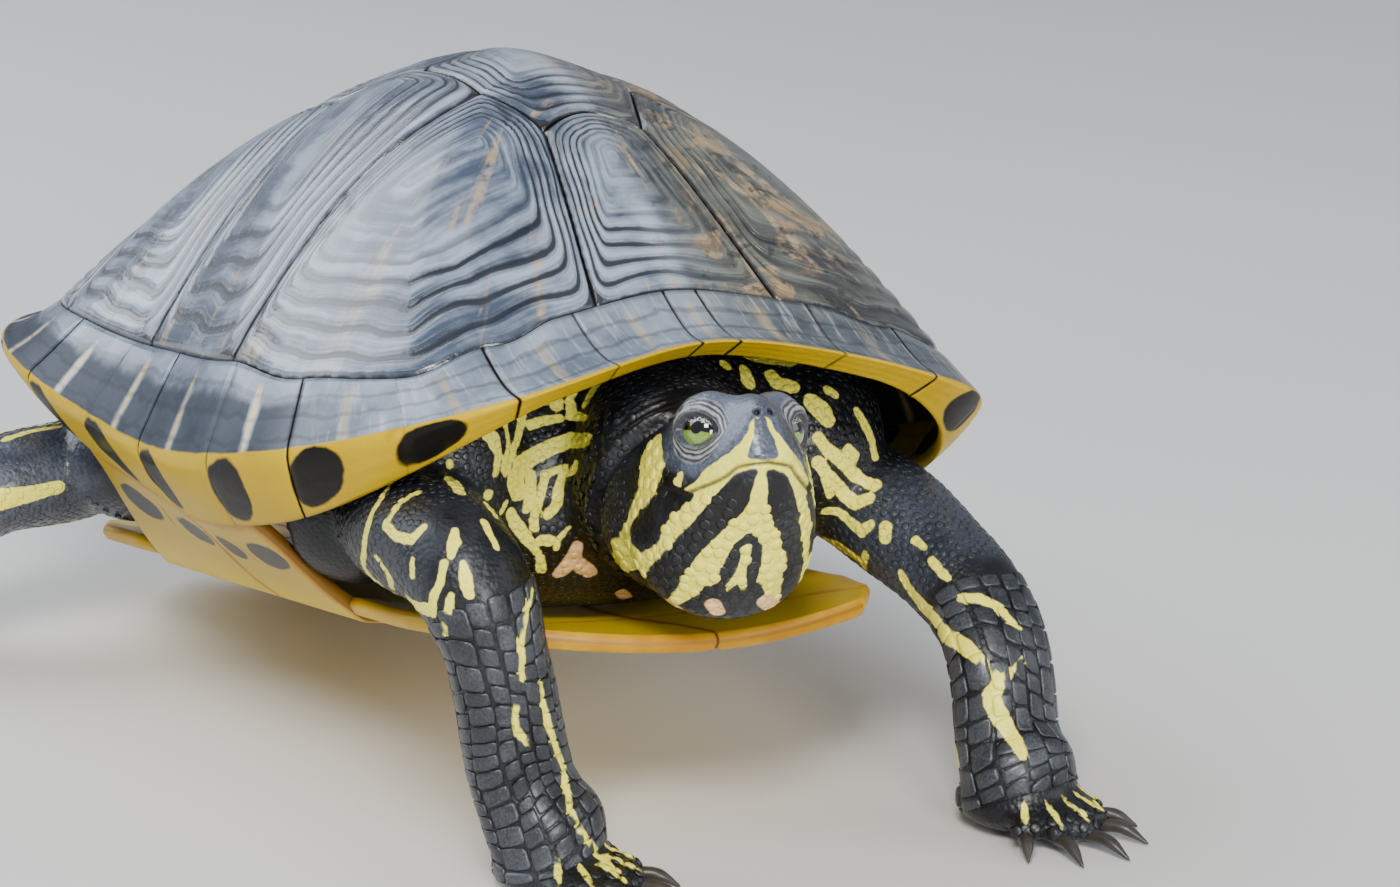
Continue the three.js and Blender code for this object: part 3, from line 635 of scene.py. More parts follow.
# Round-ended tube along points; rows of sizes are (place 0..1, half width, half depth).
def tubeOf(points, sizes, side, around=24, rows=40, cap=0.06, shapeRing=None):
    bm, p = ballOf(around, rows)
    t = np.arccos(np.clip(-p[:, 2], -1, 1)) / np.pi
    angle = np.arctan2(p[:, 1], p[:, 0])
    close = np.minimum(t, 1 - t) / cap
    full = np.sqrt(np.clip(1 - (1 - np.minimum(close, 1)) ** 2, 0, 1))
    line = splinePoints(points)
    place = t * (len(line) - 1)
    k = np.minimum(place.astype(int), len(line) - 2)
    f = (place - k)[:, None]
    centre = line[k] * (1 - f) + line[k + 1] * f
    ahead = np.gradient(line, axis=0)
    tangent = unit(ahead[k] * (1 - f) + ahead[k + 1] * f)
    wide = unit(np.array(side, float) - tangent * (tangent @ np.array(side, float))[:, None])
    deep = np.cross(tangent, wide)
    grow = 1 if shapeRing is None else shapeRing(t, angle)
    a = readTable(sizes, t, 1, True) * full * grow
    b = readTable(sizes, t, 2, True) * full * grow
    moveTo(bm, centre + wide * (a * np.cos(angle))[:, None] + deep * (b * np.sin(angle))[:, None])
    return bm


def blobOf(centre, wide, ahead, up, half, around=28, rows=18):
    bm, p = ballOf(around, rows)
    frame3 = np.array([np.array(wide) * half[0], np.array(ahead) * half[1], np.array(up) * half[2]])
    moveTo(bm, np.array(centre) + p @ frame3)
    return bm


def headBlob():
    bm, p = ballOf(64, 60)
    f = np.arccos(np.clip(-p[:, 2], -1, 1)) / np.pi
    first, last = head["sections"][0][0], head["sections"][-1][0]
    back = first + (last - first) * f ** 1.5
    angle = np.arctan2(p[:, 1], p[:, 0])
    full = (np.sqrt(np.clip(1 - (1 - np.minimum(f / 0.05, 1)) ** 2, 0, 1))
            * np.sqrt(np.clip(1 - (1 - np.minimum((1 - f) / 0.1, 1)) ** 2, 0, 1)))
    half, top, bottom, level, square = (readTable(head["sections"], back, c) for c in range(1, 6))
    power = np.where(np.sin(angle) > 0, 2 / square, 0.9)
    s = half * full * np.sign(np.cos(angle)) * np.abs(np.cos(angle)) ** power
    rise = np.where(np.sin(angle) > 0, top - level, level - bottom)
    u = (level + rise * full * np.sign(np.sin(angle))
         * np.abs(np.sin(angle)) ** np.where(np.sin(angle) > 0, power, 1.05))
    moveTo(bm, headPoint(back, s, u))
    return bm


neck = {
    "points": [(2, -50, 1), (0, -68, -1), (-2, -84, -2.5), (-3, -96, -7), (-3.6, -99.5, -8.6)],
    "sizes": [(0, 16.5, 17), (0.4, 16.6, 17.2), (0.7, 16.4, 16.8), (1, 15.6, 15.4)],
}
tail = {
    "points": [(0, 62, -8), (0, 80, -14), (1, 98, -22), (3, 112, -28)],
    "sizes": [(0, 9, 8), (0.4, 7.5, 6.8), (0.8, 3.4, 3), (1, 1.2, 1.1)],
}
hindSizes = [(0, 11.5, 9), (0.3, 12, 9.4), (0.55, 10, 8.6), (0.75, 8, 7), (1, 7.2, 6)]
limbs = {
    "rightArm": {
        "points": [standPoint((-36, -50, -6)), (-42.5, -66, 52.5), (-45, -87, 53), (-43.6, -95.5, 46),
                   (-40.6, -96.4, 33), (-37.4, -95.6, 18), (-33.8, -98.5, 4.5)],
        "sizes": [(0, 9.5, 9), (0.3, 10.8, 10), (0.48, 9.4, 9.2), (0.62, 7.9, 7), (0.85, 8.5, 5.8),
                  (1, 9.4, 4.4)],
        "side": (1, 0, 0), "palm": ((-33.2, -99.5, 3.4), 14, (10.2, 10.5, 4.4)), "toes": "fore",
    },
    "leftArm": {
        "points": [standPoint((38, -50, -6)), (43.5, -67, 44.8), (47, -87, 37.5), (47, -100, 31.5),
                   (45, -108, 24), (44.2, -111.5, 12), (44.6, -114.5, 5.2)],
        "sizes": [(0, 9.5, 9), (0.3, 10.4, 9.6), (0.5, 9.2, 8.6), (0.7, 8.8, 7), (0.86, 9.2, 6), (1, 9.4, 5)],
        "side": (1, 0, 0), "palm": ((44.8, -113.8, 4.8), 12, (10.6, 10.2, 5.2)), "toes": "fore",
    },
    "rightLeg": {
        "points": [standPoint((-32, 60, -9)), standPoint((-48, 59, -13)), (-65, 56, 32), (-76, 58, 25),
                   (-79, 66, 15), (-79.5, 72.5, 5.5)],
        "sizes": hindSizes,
        "side": (0, 1, -0.2), "palm": ((-82, 73, 3.3), -62, (9.4, 14, 4.2)), "toes": "hind",
    },
    "leftLeg": {
        "points": [standPoint((32, 60, -9)), standPoint((48, 59, -13)), (65, 57, 24), (76, 59, 20),
                   (79, 67, 14), (79.5, 73.5, 5.5)],
        "sizes": hindSizes,
        "side": (0, 1, 0.2), "palm": ((82, 74, 3.3), 62, (9.4, 14, 4.2)), "toes": "hind",
    },
}
# fan angle, length beyond the palm's centre, claw length
toes = {
    "fore": [(-42, 13.5, 5.5), (-20, 15.8, 7), (0, 16.8, 7.5), (20, 15.8, 7), (40, 13.5, 6)],
    "hind": [(-30, 17, 5.5), (-11, 19, 6), (9, 18.5, 6), (28, 16.5, 5)],
    "root": 2.9, "tip": 2.0, "start": 5, "wristHeight": 9,
}


def footDirections(spec):
    turn = math.radians(spec["palm"][1])
    ahead = np.array([math.sin(turn), -math.cos(turn), 0])
    wide = np.array([math.cos(turn), math.sin(turn), 0])
    return ahead, wide


def turned(v, degrees):
    c, s = math.cos(math.radians(degrees)), math.sin(math.radians(degrees))
    return np.array([v[0] * c - v[1] * s, v[0] * s + v[1] * c, 0])


# Where the pale bars lie: the palm's centre, the way each toe points, how long it is.
def toeBars(spec):
    ahead, _ = footDirections(spec)
    centre = np.array(spec["palm"][0])
    return [(centre, turned(ahead, angle), length) for angle, length, _ in toes[spec["toes"]]]


def footBlobs(spec):
    ahead, wide = footDirections(spec)
    centre, half = np.array(spec["palm"][0]), spec["palm"][2]
    blobs = [blobOf(centre, wide, ahead, (0, 0, 1), half)]
    wrist = np.array(spec["points"][-1], float) * np.array([1, 1, 0]) + np.array([0, 0, toes["wristHeight"]])
    blobs.append(blobOf(wrist, wide, ahead, (0, 0, 1), [half[0] * 0.9, half[0] * 0.78, toes["wristHeight"]]))
    tips = []
    for angle, length, claw in toes[spec["toes"]]:
        out = turned(ahead, angle)
        root, end = centre + out * toes["start"], centre + out * length
        root[2], end[2] = max(centre[2], 3.0), toes["tip"]
        middle = (root + end) / 2 + np.array([0, 0, 0.9])
        sizes = [(0, toes["root"], toes["root"]), (0.6, 2.5, 2.3), (1, toes["tip"], toes["tip"])]
        blobs.append(tubeOf([root, middle, end], sizes, turned(out, 90), 14, 14, 0.14))
        tips.append((end, out, claw))
    for (a, outA, _), (b, outB, _) in zip(tips, tips[1:]):
        web = 0.62 if spec["toes"] == "hind" else 0.36
        far = centre + (((a + b) / 2) - centre) * (web + 0.2)
        far[2] = 1.5
        near = np.array([centre[0], centre[1], 2.2]) + unit((outA + outB))[...] * 4
        spread = np.linalg.norm(a - b) * 0.36
        blobs.append(tubeOf([near, (near + far) / 2, far],
                            [(0, 3, 1.8), (0.6, spread, 1.1), (1, spread, 0.8)],
                            np.cross((0, 0, 1), unit(outA + outB)), 16, 14, 0.12))
    return blobs, tips


# Only the two ends of the trunk show; a slim core joins them inside the shell.
trunk = {
    "chest": ((0, -57, -3.5), (45, 21, 23)), "hips": ((0, 60, -5), (48, 21, 20)),
    "core": [(0, -52, -2), (0, 0, -6), (0, 58, -8)], "coreSize": 10,
    "shoulders": ((33, -60, 0), (17, 17, 17)), "armpits": ((39, -44, -9), (15, 14, 13)),
    "groins": ((39, 49, -10), (14, 14, 12)),
}


def trunkBlobs():
    x, y, z = tip.T
    blobs = []
    for key in ("chest", "hips"):
        centre, half = trunk[key]
        blobs.append(blobOf(standPoint(centre), x, y, z, half, 44, 30))
    for side in (-1, 1):
        for key in ("shoulders", "armpits", "groins"):
            centre, half = trunk[key]
            blobs.append(blobOf(standPoint((side * centre[0], centre[1], centre[2])), x, y, z, half))
    size = trunk["coreSize"]
    blobs.append(tubeOf(standPoint(trunk["core"]), [(0, size, size), (1, size, size)], x, 20, 24))
    return blobs


skin = {"voxel": 1.15, "smoothing": 4, "headCuts": 2, "hiddenHalf": 46, "hiddenShare": 0.42}


def joinBlobs(blobs):
    whole = bmesh.new()
    for bm in blobs:
        bmesh.ops.recalc_face_normals(bm, faces=bm.faces[:])
        mesh = bpy.data.meshes.new("blob")
        bm.to_mesh(mesh)
        bm.free()
        whole.from_mesh(mesh)
        bpy.data.meshes.remove(mesh)
    return whole


def remeshed(bm, voxel):
    mesh = bpy.data.meshes.new("joined")
    bm.to_mesh(mesh)
    bm.free()
    thing = bpy.data.objects.new("joined", mesh)
    bpy.context.scene.collection.objects.link(thing)
    change = thing.modifiers.new("merge", "REMESH")
    change.mode = "VOXEL"
    change.voxel_size = voxel
    change.use_smooth_shade = True
    bpy.context.view_layer.update()
    result = bpy.data.meshes.new_from_object(thing.evaluated_get(bpy.context.evaluated_depsgraph_get()))
    out = bmesh.new()
    out.from_mesh(result)
    bpy.data.objects.remove(thing)
    bpy.data.meshes.remove(mesh)
    bpy.data.meshes.remove(result)
    return out


def edgesOf(bm):
    bm.verts.index_update()
    return np.array([(e.verts[0].index, e.verts[1].index) for e in bm.edges])


def relax(p, edges, weight, rounds):
    count = np.maximum(np.bincount(edges.ravel(), minlength=len(p)), 1)[:, None]
    for _ in range(rounds):
        total = np.zeros_like(p)
        for k in range(3):
            total[:, k] = (np.bincount(edges[:, 0], p[edges[:, 1], k], len(p))
                           + np.bincount(edges[:, 1], p[edges[:, 0], k], len(p)))
        p = p + (total / count - p) * weight[:, None]
    return p


def vertexNormals(bm):
    bm.normal_update()
    return np.array([v.normal[:] for v in bm.verts])


def thinned(bm, hidden, share):
    mesh = bpy.data.meshes.new("thin")
    bm.to_mesh(mesh)
    bm.free()
    thing = bpy.data.objects.new("thin", mesh)
    bpy.context.scene.collection.objects.link(thing)
    thing.vertex_groups.new(name="hidden").add(np.flatnonzero(hidden).tolist(), 1, "REPLACE")
    change = thing.modifiers.new("thin", "DECIMATE")
    change.ratio, change.vertex_group = share, "hidden"
    bpy.context.view_layer.update()
    result = bpy.data.meshes.new_from_object(thing.evaluated_get(bpy.context.evaluated_depsgraph_get()))
    out = bmesh.new()
    out.from_mesh(result)
    bpy.data.objects.remove(thing)
    bpy.data.meshes.remove(mesh)
    bpy.data.meshes.remove(result)
    return out


def refine(bm, chosen, cuts, weight, rounds):
    faces = [f for f in bm.faces if all(chosen[v.index] for v in f.verts)]
    bmesh.ops.subdivide_edges(bm, edges=list({e for f in faces for e in f.edges}), cuts=cuts,
                              use_grid_fill=True)
    bmesh.ops.triangulate(bm, faces=bm.faces[:])
    p = places(bm)
    p = relax(p, edgesOf(bm), weight(p), rounds)
    moveTo(bm, p)
    return p


def fleshBlobs():
    sideways = np.array([1, 0, 0]) @ tip.T
    blobs = [headBlob(), *trunkBlobs()]
    for side in (-1, 1):
        look, along, high = eyeFrame(side)
        blobs.append(blobOf(eyeCentre(side) + high * head["lidLift"], along, high, look, head["lidHalf"]))
    blobs.append(tubeOf(standPoint(neck["points"]), neck["sizes"], sideways, 48, 40, 0.1))
    blobs.append(tubeOf(standPoint(tail["points"]), tail["sizes"], sideways, 24, 40))
    clawSpots = []
    for name, spec in limbs.items():
        blobs.append(tubeOf(spec["points"], spec["sizes"], spec["side"], 32, 48))
        foot, tips = footBlobs(spec)
        blobs += foot
        clawSpots.append((name, tips))
    return blobs, clawSpots


def nearEyes(p):
    near = np.zeros(len(p), bool)
    for side in (-1, 1):
        look = eyeFrame(side)[0]
        d = p - eyeCentre(side)
        near |= (np.linalg.norm(d, axis=1) < 6.6) & (d @ look > 0.5)
    return near


# Markings of the skin.

# Markings are given as the camera sees them, across and down a view of this size, and then laid on the skin.
view = {"across": 1400, "down": 887, "sensor": 36, "reach": 4.5, "widest": 14,
        "fewest": 3, "widen": 1.4, "soften": 0.3, "depth": 2, "gap": 11.5}
# The head's outlines are given in an enlarged part of that view.
closeView = {"left": 560, "top": 370, "scale": 5.2267}

# Outlines of one side of the head, in stretches; "chart" stretches close them past what the camera sees.
headOutlines = {
    "yellow": [
        ("chart", [(4, 16.4)]),
        ("seen", [(1022, 250), (975, 330), (920, 400), (850, 455), (760, 520), (690, 600), (600, 640),
                  (500, 640), (535, 560), (550, 480), (532, 400), (525, 330), (470, 370), (425, 440),
                  (412, 540), (405, 630), (375, 700), (345, 790), (310, 860), (270, 900), (262, 990),
                  (300, 1040), (345, 1075), (420, 1060), (540, 1215), (620, 1225), (720, 1165),
                  (830, 1110), (900, 1150)]),
        ("chart", [(4, -18)]),
    ],
    "wedge": [
        ("chart", [(4, 17.5)]),
        ("seen", [(1030, 235), (1015, 320), (990, 400), (980, 450), (1005, 470), (1070, 472)]),
        ("chart", [(4, 10.3)]),
    ],
    "blotch": [
        ("seen", [(520, 640), (600, 620), (690, 640), (700, 665), (640, 720), (580, 770), (545, 820),
                  (520, 880), (480, 930), (430, 940), (380, 915), (365, 850), (375, 800), (420, 740),
                  (470, 680)]),
    ],
    "band": [
        ("seen", [(1030, 525), (1020, 580), (1000, 640), (985, 700), (940, 760), (860, 830), (790, 900),
                  (720, 970), (660, 1060)]),
        ("chart", [(-11.1, -19), (-11.2, -21), (-15, -25)]),
        ("seen", [(400, 1090), (470, 1030), (540, 960), (600, 890), (680, 810), (740, 740), (800, 670),
                  (860, 600), (910, 550), (970, 525)]),
    ],
    "arch": [
        ("chart", [(4, -5)]),
        ("seen", [(985, 855), (950, 880), (915, 905), (880, 960), (850, 1030), (830, 1100), (790, 1140),
                  (760, 1165)]),
        ("chart", [(-5, -20), (4, -20)]),
    ],
    "archMiddle": [
        ("chart", [(0.4, -8.1)]),
        ("seen", [(990, 910), (960, 925), (940, 990), (915, 1060), (860, 1140)]),
        ("chart", [(-1.6, -17.9), (-0.4, -15), (0.3, -11)]),
    ],
    "tick": [
        ("seen", [(600, 560), (640, 530), (635, 610), (600, 600)]),
    ],
}
headMiddle = -0.9

# Strokes of the neck, chest and limbs: across, down, half width.
yellowStripes = {
    "rightUpperArm": [
        [(425, 450, 4), (402, 475, 4), (380, 500, 4), (368, 525, 5), (365, 550, 5), (363, 572, 6),
         (375, 590, 7), (400, 607, 7), (430, 610, 7)],
        [(418, 492, 4), (400, 503, 4), (392, 515, 4), (386, 525, 5), (396, 536, 5), (412, 540, 5),
         (424, 527, 4)],
        [(376, 555, 3), (384, 566, 4), (390, 577, 5), (390, 590, 4)],
        [(413, 560, 3), (413, 575, 4)],
        [(450, 463, 4), (452, 478, 8), (460, 492, 6)],
        [(455, 530, 3), (454, 543, 7), (451, 555, 4)],
        [(463, 563, 3), (466, 578, 7), (469, 594, 5)],
        [(444, 563, 4), (441, 580, 4), (434, 597, 5), (432, 612, 6)],
        [(451, 596, 4), (449, 612, 5), (446, 632, 4)],
    ],
    "rightForearm": [
        [(540, 558, 4), (541, 572, 5), (531, 590, 4), (526, 605, 4), (522, 625, 4), (520, 640, 4),
         (522, 660, 4), (520, 670, 3.5), (521, 680, 3.5)],
        [(515, 700, 3), (515, 720, 4), (518, 733, 4), (525, 743, 4)],
        [(538, 680, 2.5), (542, 700, 3), (545, 715, 4), (551, 735, 4), (557, 755, 4), (563, 770, 4),
         (565, 790, 4), (570, 810, 4), (579, 830, 4), (591, 848, 4), (603, 860, 3.5), (618, 870, 3)],
    ],
    "chest": [
        [(486, 432, 7), (494, 440, 8), (498, 455, 4), (495, 475, 3)],
        [(507, 410, 3), (505, 425, 3), (508, 440, 2.5), (506, 455, 2.5), (503, 470, 3)],
        [(522, 405, 5), (520, 425, 5), (513, 450, 4), (505, 475, 3)],
        [(545, 400, 6), (553, 390, 8), (556, 405, 7)],
        [(530, 425, 5), (545, 420, 5), (560, 418, 4)],
        [(577, 385, 3), (570, 400, 4), (572, 415, 6), (585, 418, 3)],
        [(607, 365, 5), (600, 380, 5), (590, 395, 5), (585, 405, 4)],
        [(588, 440, 7), (570, 440, 8), (553, 447, 8), (535, 455, 8), (520, 465, 9), (515, 480, 11),
         (518, 492, 9)],
        [(530, 475, 6), (530, 500, 6), (526, 510, 4)],
        [(575, 463, 2.5), (560, 468, 3), (545, 475, 4), (542, 490, 4), (538, 505, 4), (533, 520, 5),
         (535, 528, 4)],
        [(577, 468, 4), (563, 475, 4), (558, 490, 5), (556, 505, 6), (548, 515, 5)],
        [(488, 495, 6), (491, 505, 7), (497, 515, 4)],
        [(505, 503, 3), (502, 512, 3)],
        [(510, 512, 5), (517, 525, 7), (528, 540, 6), (537, 552, 4)],
        [(484, 522, 4), (489, 533, 4), (497, 548, 3)],
        [(542, 540, 6), (549, 541, 6)],
        [(570, 527, 2), (557, 540, 3), (556, 548, 3)],
    ],
    "neckLeft": [
        [(700, 350, 6), (702, 375, 6)],
        [(700, 348, 5), (740, 352, 6), (790, 362, 6)],
        [(725, 365, 6), (722, 385, 5)],
        [(745, 370, 6), (748, 382, 8)],
        [(770, 374, 5), (777, 383, 6), (793, 387, 6)],
        [(812, 402, 8), (823, 412, 9), (828, 420, 7)],
        [(828, 390, 4), (834, 394, 4)],
        [(857, 412, 4), (865, 425, 5), (872, 440, 5), (875, 455, 5)],
        [(818, 437, 5), (825, 447, 5), (840, 460, 6), (855, 475, 6), (875, 485, 6)],
        [(847, 450, 5), (855, 457, 5)],
        [(818, 463, 6), (825, 472, 5), (835, 482, 5), (845, 495, 6), (855, 503, 6), (870, 498, 5)],
        [(825, 478, 3), (830, 495, 3)],
        [(825, 511, 4), (838, 512, 4), (850, 522, 4), (862, 532, 5), (870, 525, 4)],
        [(885, 528, 6), (885, 537, 6)],
        [(825, 545, 6), (840, 547, 6), (855, 557, 5)],
        [(866, 555, 4), (864, 568, 3)],
    ],
    "leftArm": [
        [(902, 575, 5), (908, 590, 6), (922, 605, 8), (938, 620, 9), (945, 635, 8), (962, 645, 8),
         (975, 655, 7), (985, 665, 5)],
        [(962, 598, 5), (980, 600, 6), (998, 607, 5), (1010, 620, 4), (1020, 630, 3)],
        [(932, 560, 4), (945, 575, 4), (950, 580, 3)],
        [(915, 540, 4), (925, 548, 3)],
        [(1022, 660, 4), (1010, 672, 4), (998, 683, 7), (990, 698, 9), (998, 715, 9), (1008, 730, 8),
         (1018, 745, 7), (1022, 757, 5)],
        [(935, 680, 3)],
        [(950, 750, 6), (958, 765, 6)],
    ],
    "rightLeg": [
        [(2, 500, 11), (30, 496, 8), (58, 487, 6)],
        [(5, 440, 4), (35, 430, 4), (60, 425, 3)],
    ],
}
peachSpots = [
    [(765, 600, 8), (775, 609, 7)],
    [(577, 545, 4), (572, 560, 9), (560, 573, 6)],
    [(572, 560, 8), (590, 573, 6)],
    [(713, 604, 7), (718, 612, 6)],
    [(622, 592, 5), (627, 599, 5)],
    [(663, 612, 4), (672, 616, 4)],
]

strokeSpread = {"chest": 0.06, "neckLeft": 0.2, "rightUpperArm": 0.05}
# Stripes that run along a limb: angle round it at the start and the end, wave, half width, from, to (mm).
limbStripes = {
    "rightArm": [(150, 165, 8, 0.9, 30, 92), (195, 190, 10, 1.2, 24, 84), (240, 225, 9, 0.8, 30, 95)],
    "leftArm": [(-10, 5, 8, 1.0, 22, 90), (30, 45, 9, 1.3, 30, 96), (75, 70, 8, 0.9, 30, 80),
                (120, 110, 9, 1, 30, 90)],
    "rightLeg": [(-95, -80, 10, 1.2, 14, 66), (-40, -30, 8, 1, 16, 64), (25, 20, 9, 1.2, 12, 60),
                 (95, 100, 8, 1.7, 8, 66)],
    "leftLeg": [(-150, -140, 9, 1.1, 10, 62), (-95, -80, 10, 1.4, 14, 66), (-40, -30, 8, 1, 16, 64),
                (25, 20, 9, 1.2, 12, 60), (85, 90, 8, 1.1, 14, 66), (140, 150, 9, 0.9, 20, 60)],
}


# How grey a limb's skin is, from, to (mm); the plates begin where it ends.
limbSlate = {"rightArm": (0.1, 20, 48), "leftArm": (0.4, 20, 50), "rightLeg": (0.6, 6, 40),
             "leftLeg": (0.6, 6, 40)}


def headChart(local):
    d = unit(np.stack([15 - local[:, 0], local[:, 1], local[:, 2] + 8], -1))
    toChin, toBrow = np.array([0.7507, 0, -0.6606]), np.array([0.6606, 0, 0.7507])
    away = np.arccos(np.clip(d @ toChin, -1, 1))
    grow = 14 * away / np.maximum(np.sin(away), 1e-6)
    return np.stack([headMiddle - np.abs(d[:, 1] * grow - headMiddle), d @ toBrow * grow], -1)


def roundedLoop(points, steps=4):
    points = np.array(points, float)
    before, after, last = np.roll(points, 1, 0), np.roll(points, -1, 0), np.roll(points, -2, 0)
    rows = []
    for t in np.arange(steps) / steps:
        rows.append(0.5 * (2 * points + (after - before) * t
                           + (2 * before - 5 * points + 4 * after - last) * t * t
                           + (3 * points - before - 3 * after + last) * t ** 3))
    return np.stack(rows, 1).reshape(-1, 2)


# Distance to a closed outline, positive inside it.
def insideLoop(q, points):
    loop = roundedLoop(points)
    away = np.full(len(q), 1e9)
    inside = np.zeros(len(q), bool)
    for a, b in zip(loop, np.roll(loop, -1, 0)):
        ab, aq = b - a, q - a
        t = np.clip((aq @ ab) / (ab @ ab), 0, 1)
        away = np.minimum(away, np.hypot(*(aq - t[:, None] * ab).T))
        crosses = (a[1] > q[:, 1]) != (b[1] > q[:, 1])
        inside ^= crosses & (q[:, 0] < a[0] + ab[0] * (q[:, 1] - a[1]) / (ab[1] or 1e-9))
    return np.where(inside, away, -away)


def stripeField(p, stripes, extra=0.0):
    field = np.full(len(p), -9.0)
    for stripe in stripes:
        rows = np.array(stripe if len(stripe) > 1 else stripe * 2, float)
        near = np.flatnonzero(((p > rows[:, :3].min(0) - 4) & (p < rows[:, :3].max(0) + 4)).all(1))
        q = p[near]
        for a, b in zip(rows, rows[1:]):
            ab = b[:3] - a[:3]
            t = np.clip(((q - a[:3]) @ ab) / max(ab @ ab, 1e-9), 0, 1)
            away = np.linalg.norm(q - a[:3] - t[:, None] * ab, axis=1)
            field[near] = np.maximum(field[near], lerp(a[3], b[3], t) + extra - away)
    return field


# Where a point lies on a limb: run along it, angle round it, distance from its centre line.
def limbChart(p, name):
    spec = limbs[name]
    line = splinePoints(spec["points"], 120)
    step = np.linalg.norm(line[1] - line[0])
    square, index = np.full(len(p), 1e9), np.zeros(len(p), int)
    for i, spot in enumerate(line):
        far = ((p - spot) ** 2).sum(1)
        index = np.where(far < square, i, index)
        square = np.minimum(square, far)
    tangent = unit(np.gradient(line, axis=0))[index]
    side = np.array(spec["side"], float)
    wide = unit(side - tangent * (tangent @ side)[:, None])
    deep = np.cross(tangent, wide)
    d = p - line[index]
    run = index * step + (d * tangent).sum(1)
    angle = np.degrees(np.arctan2((d * deep).sum(1), (d * wide).sum(1)))
    return run, angle, np.sqrt(square)


def limbField(p, name):
    near = np.flatnonzero((p > np.min(limbs[name]["points"], 0) - 22).all(1)
                          & (p < np.max(limbs[name]["points"], 0) + 22).all(1))
    run, angle, away = limbChart(p[near], name)
    field = np.full(len(p), -9.0)
    for start, end, wave, half, first, last in limbStripes[name]:
        t = np.clip((run - first) / (last - first), 0, 1)
        centre = lerp(start, end, t) + wave * np.sin(run * 0.33 + start)
        off = np.abs((angle - centre + 180) % 360 - 180) * np.pi / 180 * away
        ends = np.minimum(run - first, last - run) * 0.6
        field[near] = np.maximum(field[near],
                                 np.minimum(half * (0.8 + 0.35 * np.sin(run * 0.5 + end)) - off, ends))
    return np.where(field < -4, -9, field)


# Where the camera sees points, how far off they are and how much it enlarges them.
def seenFrom(p):
    turn = np.array(Euler([math.radians(a) for a in aim["turn"]]).to_matrix())
    q = (np.asarray(p, float) - aim["place"]) @ turn
    grow = aim["lens"] / view["sensor"] * view["across"] / -q[:, 2]
    return np.stack([view["across"] / 2 + q[:, 0] * grow, view["down"] / 2 - q[:, 1] * grow, -q[:, 2],
                     grow], -1)


# The point of the skin at one spot of the view, and the enlargement there; nothing where the view misses it.
def onSkin(spot, seen, p):
    away = np.hypot(seen[:, 0] - spot[0], seen[:, 1] - spot[1])
    reach = view["reach"]
    while (away < reach).sum() < view["fewest"] and reach < view["widest"]:
        reach *= view["widen"]
    near = np.flatnonzero(away < reach)
    if not len(near):
        return None
    near = near[seen[near, 2] < seen[near, 2].min() + view["depth"]]
    weight = 1 / (away[near] + view["soften"]) ** 2
    return weight @ p[near] / weight.sum(), weight @ seen[near, 3] / weight.sum()


# A stroke is cut where it would jump from one limb to another.
def laidStrokes(strokes, seen, p):
    runs = []
    for stroke in strokes:
        last = None
        for across, down, half in stroke:
            found = onSkin((across, down), seen, p)
            if found is None:
                continue
            place, grow = found
            if last is None or np.linalg.norm(place - last) > view["gap"]:
                runs.append([])
            runs[-1].append((*place, half / grow))
            last = place
    return runs


def laidOutline(stretches, seen, p):
    rows = []
    for kind, points in stretches:
        if kind == "chart":
            rows += points
            continue
        for across, down in points:
            spot = (closeView["left"] + across / closeView["scale"],
                    closeView["top"] + down / closeView["scale"])
            found = onSkin(spot, seen, p)
            if found is not None:
                rows.append(tuple(headChart(inHead(found[0][None]))[0]))
    return rows


laid = {}


def layMarkings(p):
    seen = seenFrom(p)
    laid["head"] = {name: laidOutline(stretches, seen, p) for name, stretches in headOutlines.items()}
    laid["stripes"] = {name: laidStrokes(strokes, seen, p) for name, strokes in yellowStripes.items()}
    laid["peach"] = laidStrokes(peachSpots, seen, p)
    print("markings laid", sum(len(runs) for runs in laid["stripes"].values()))


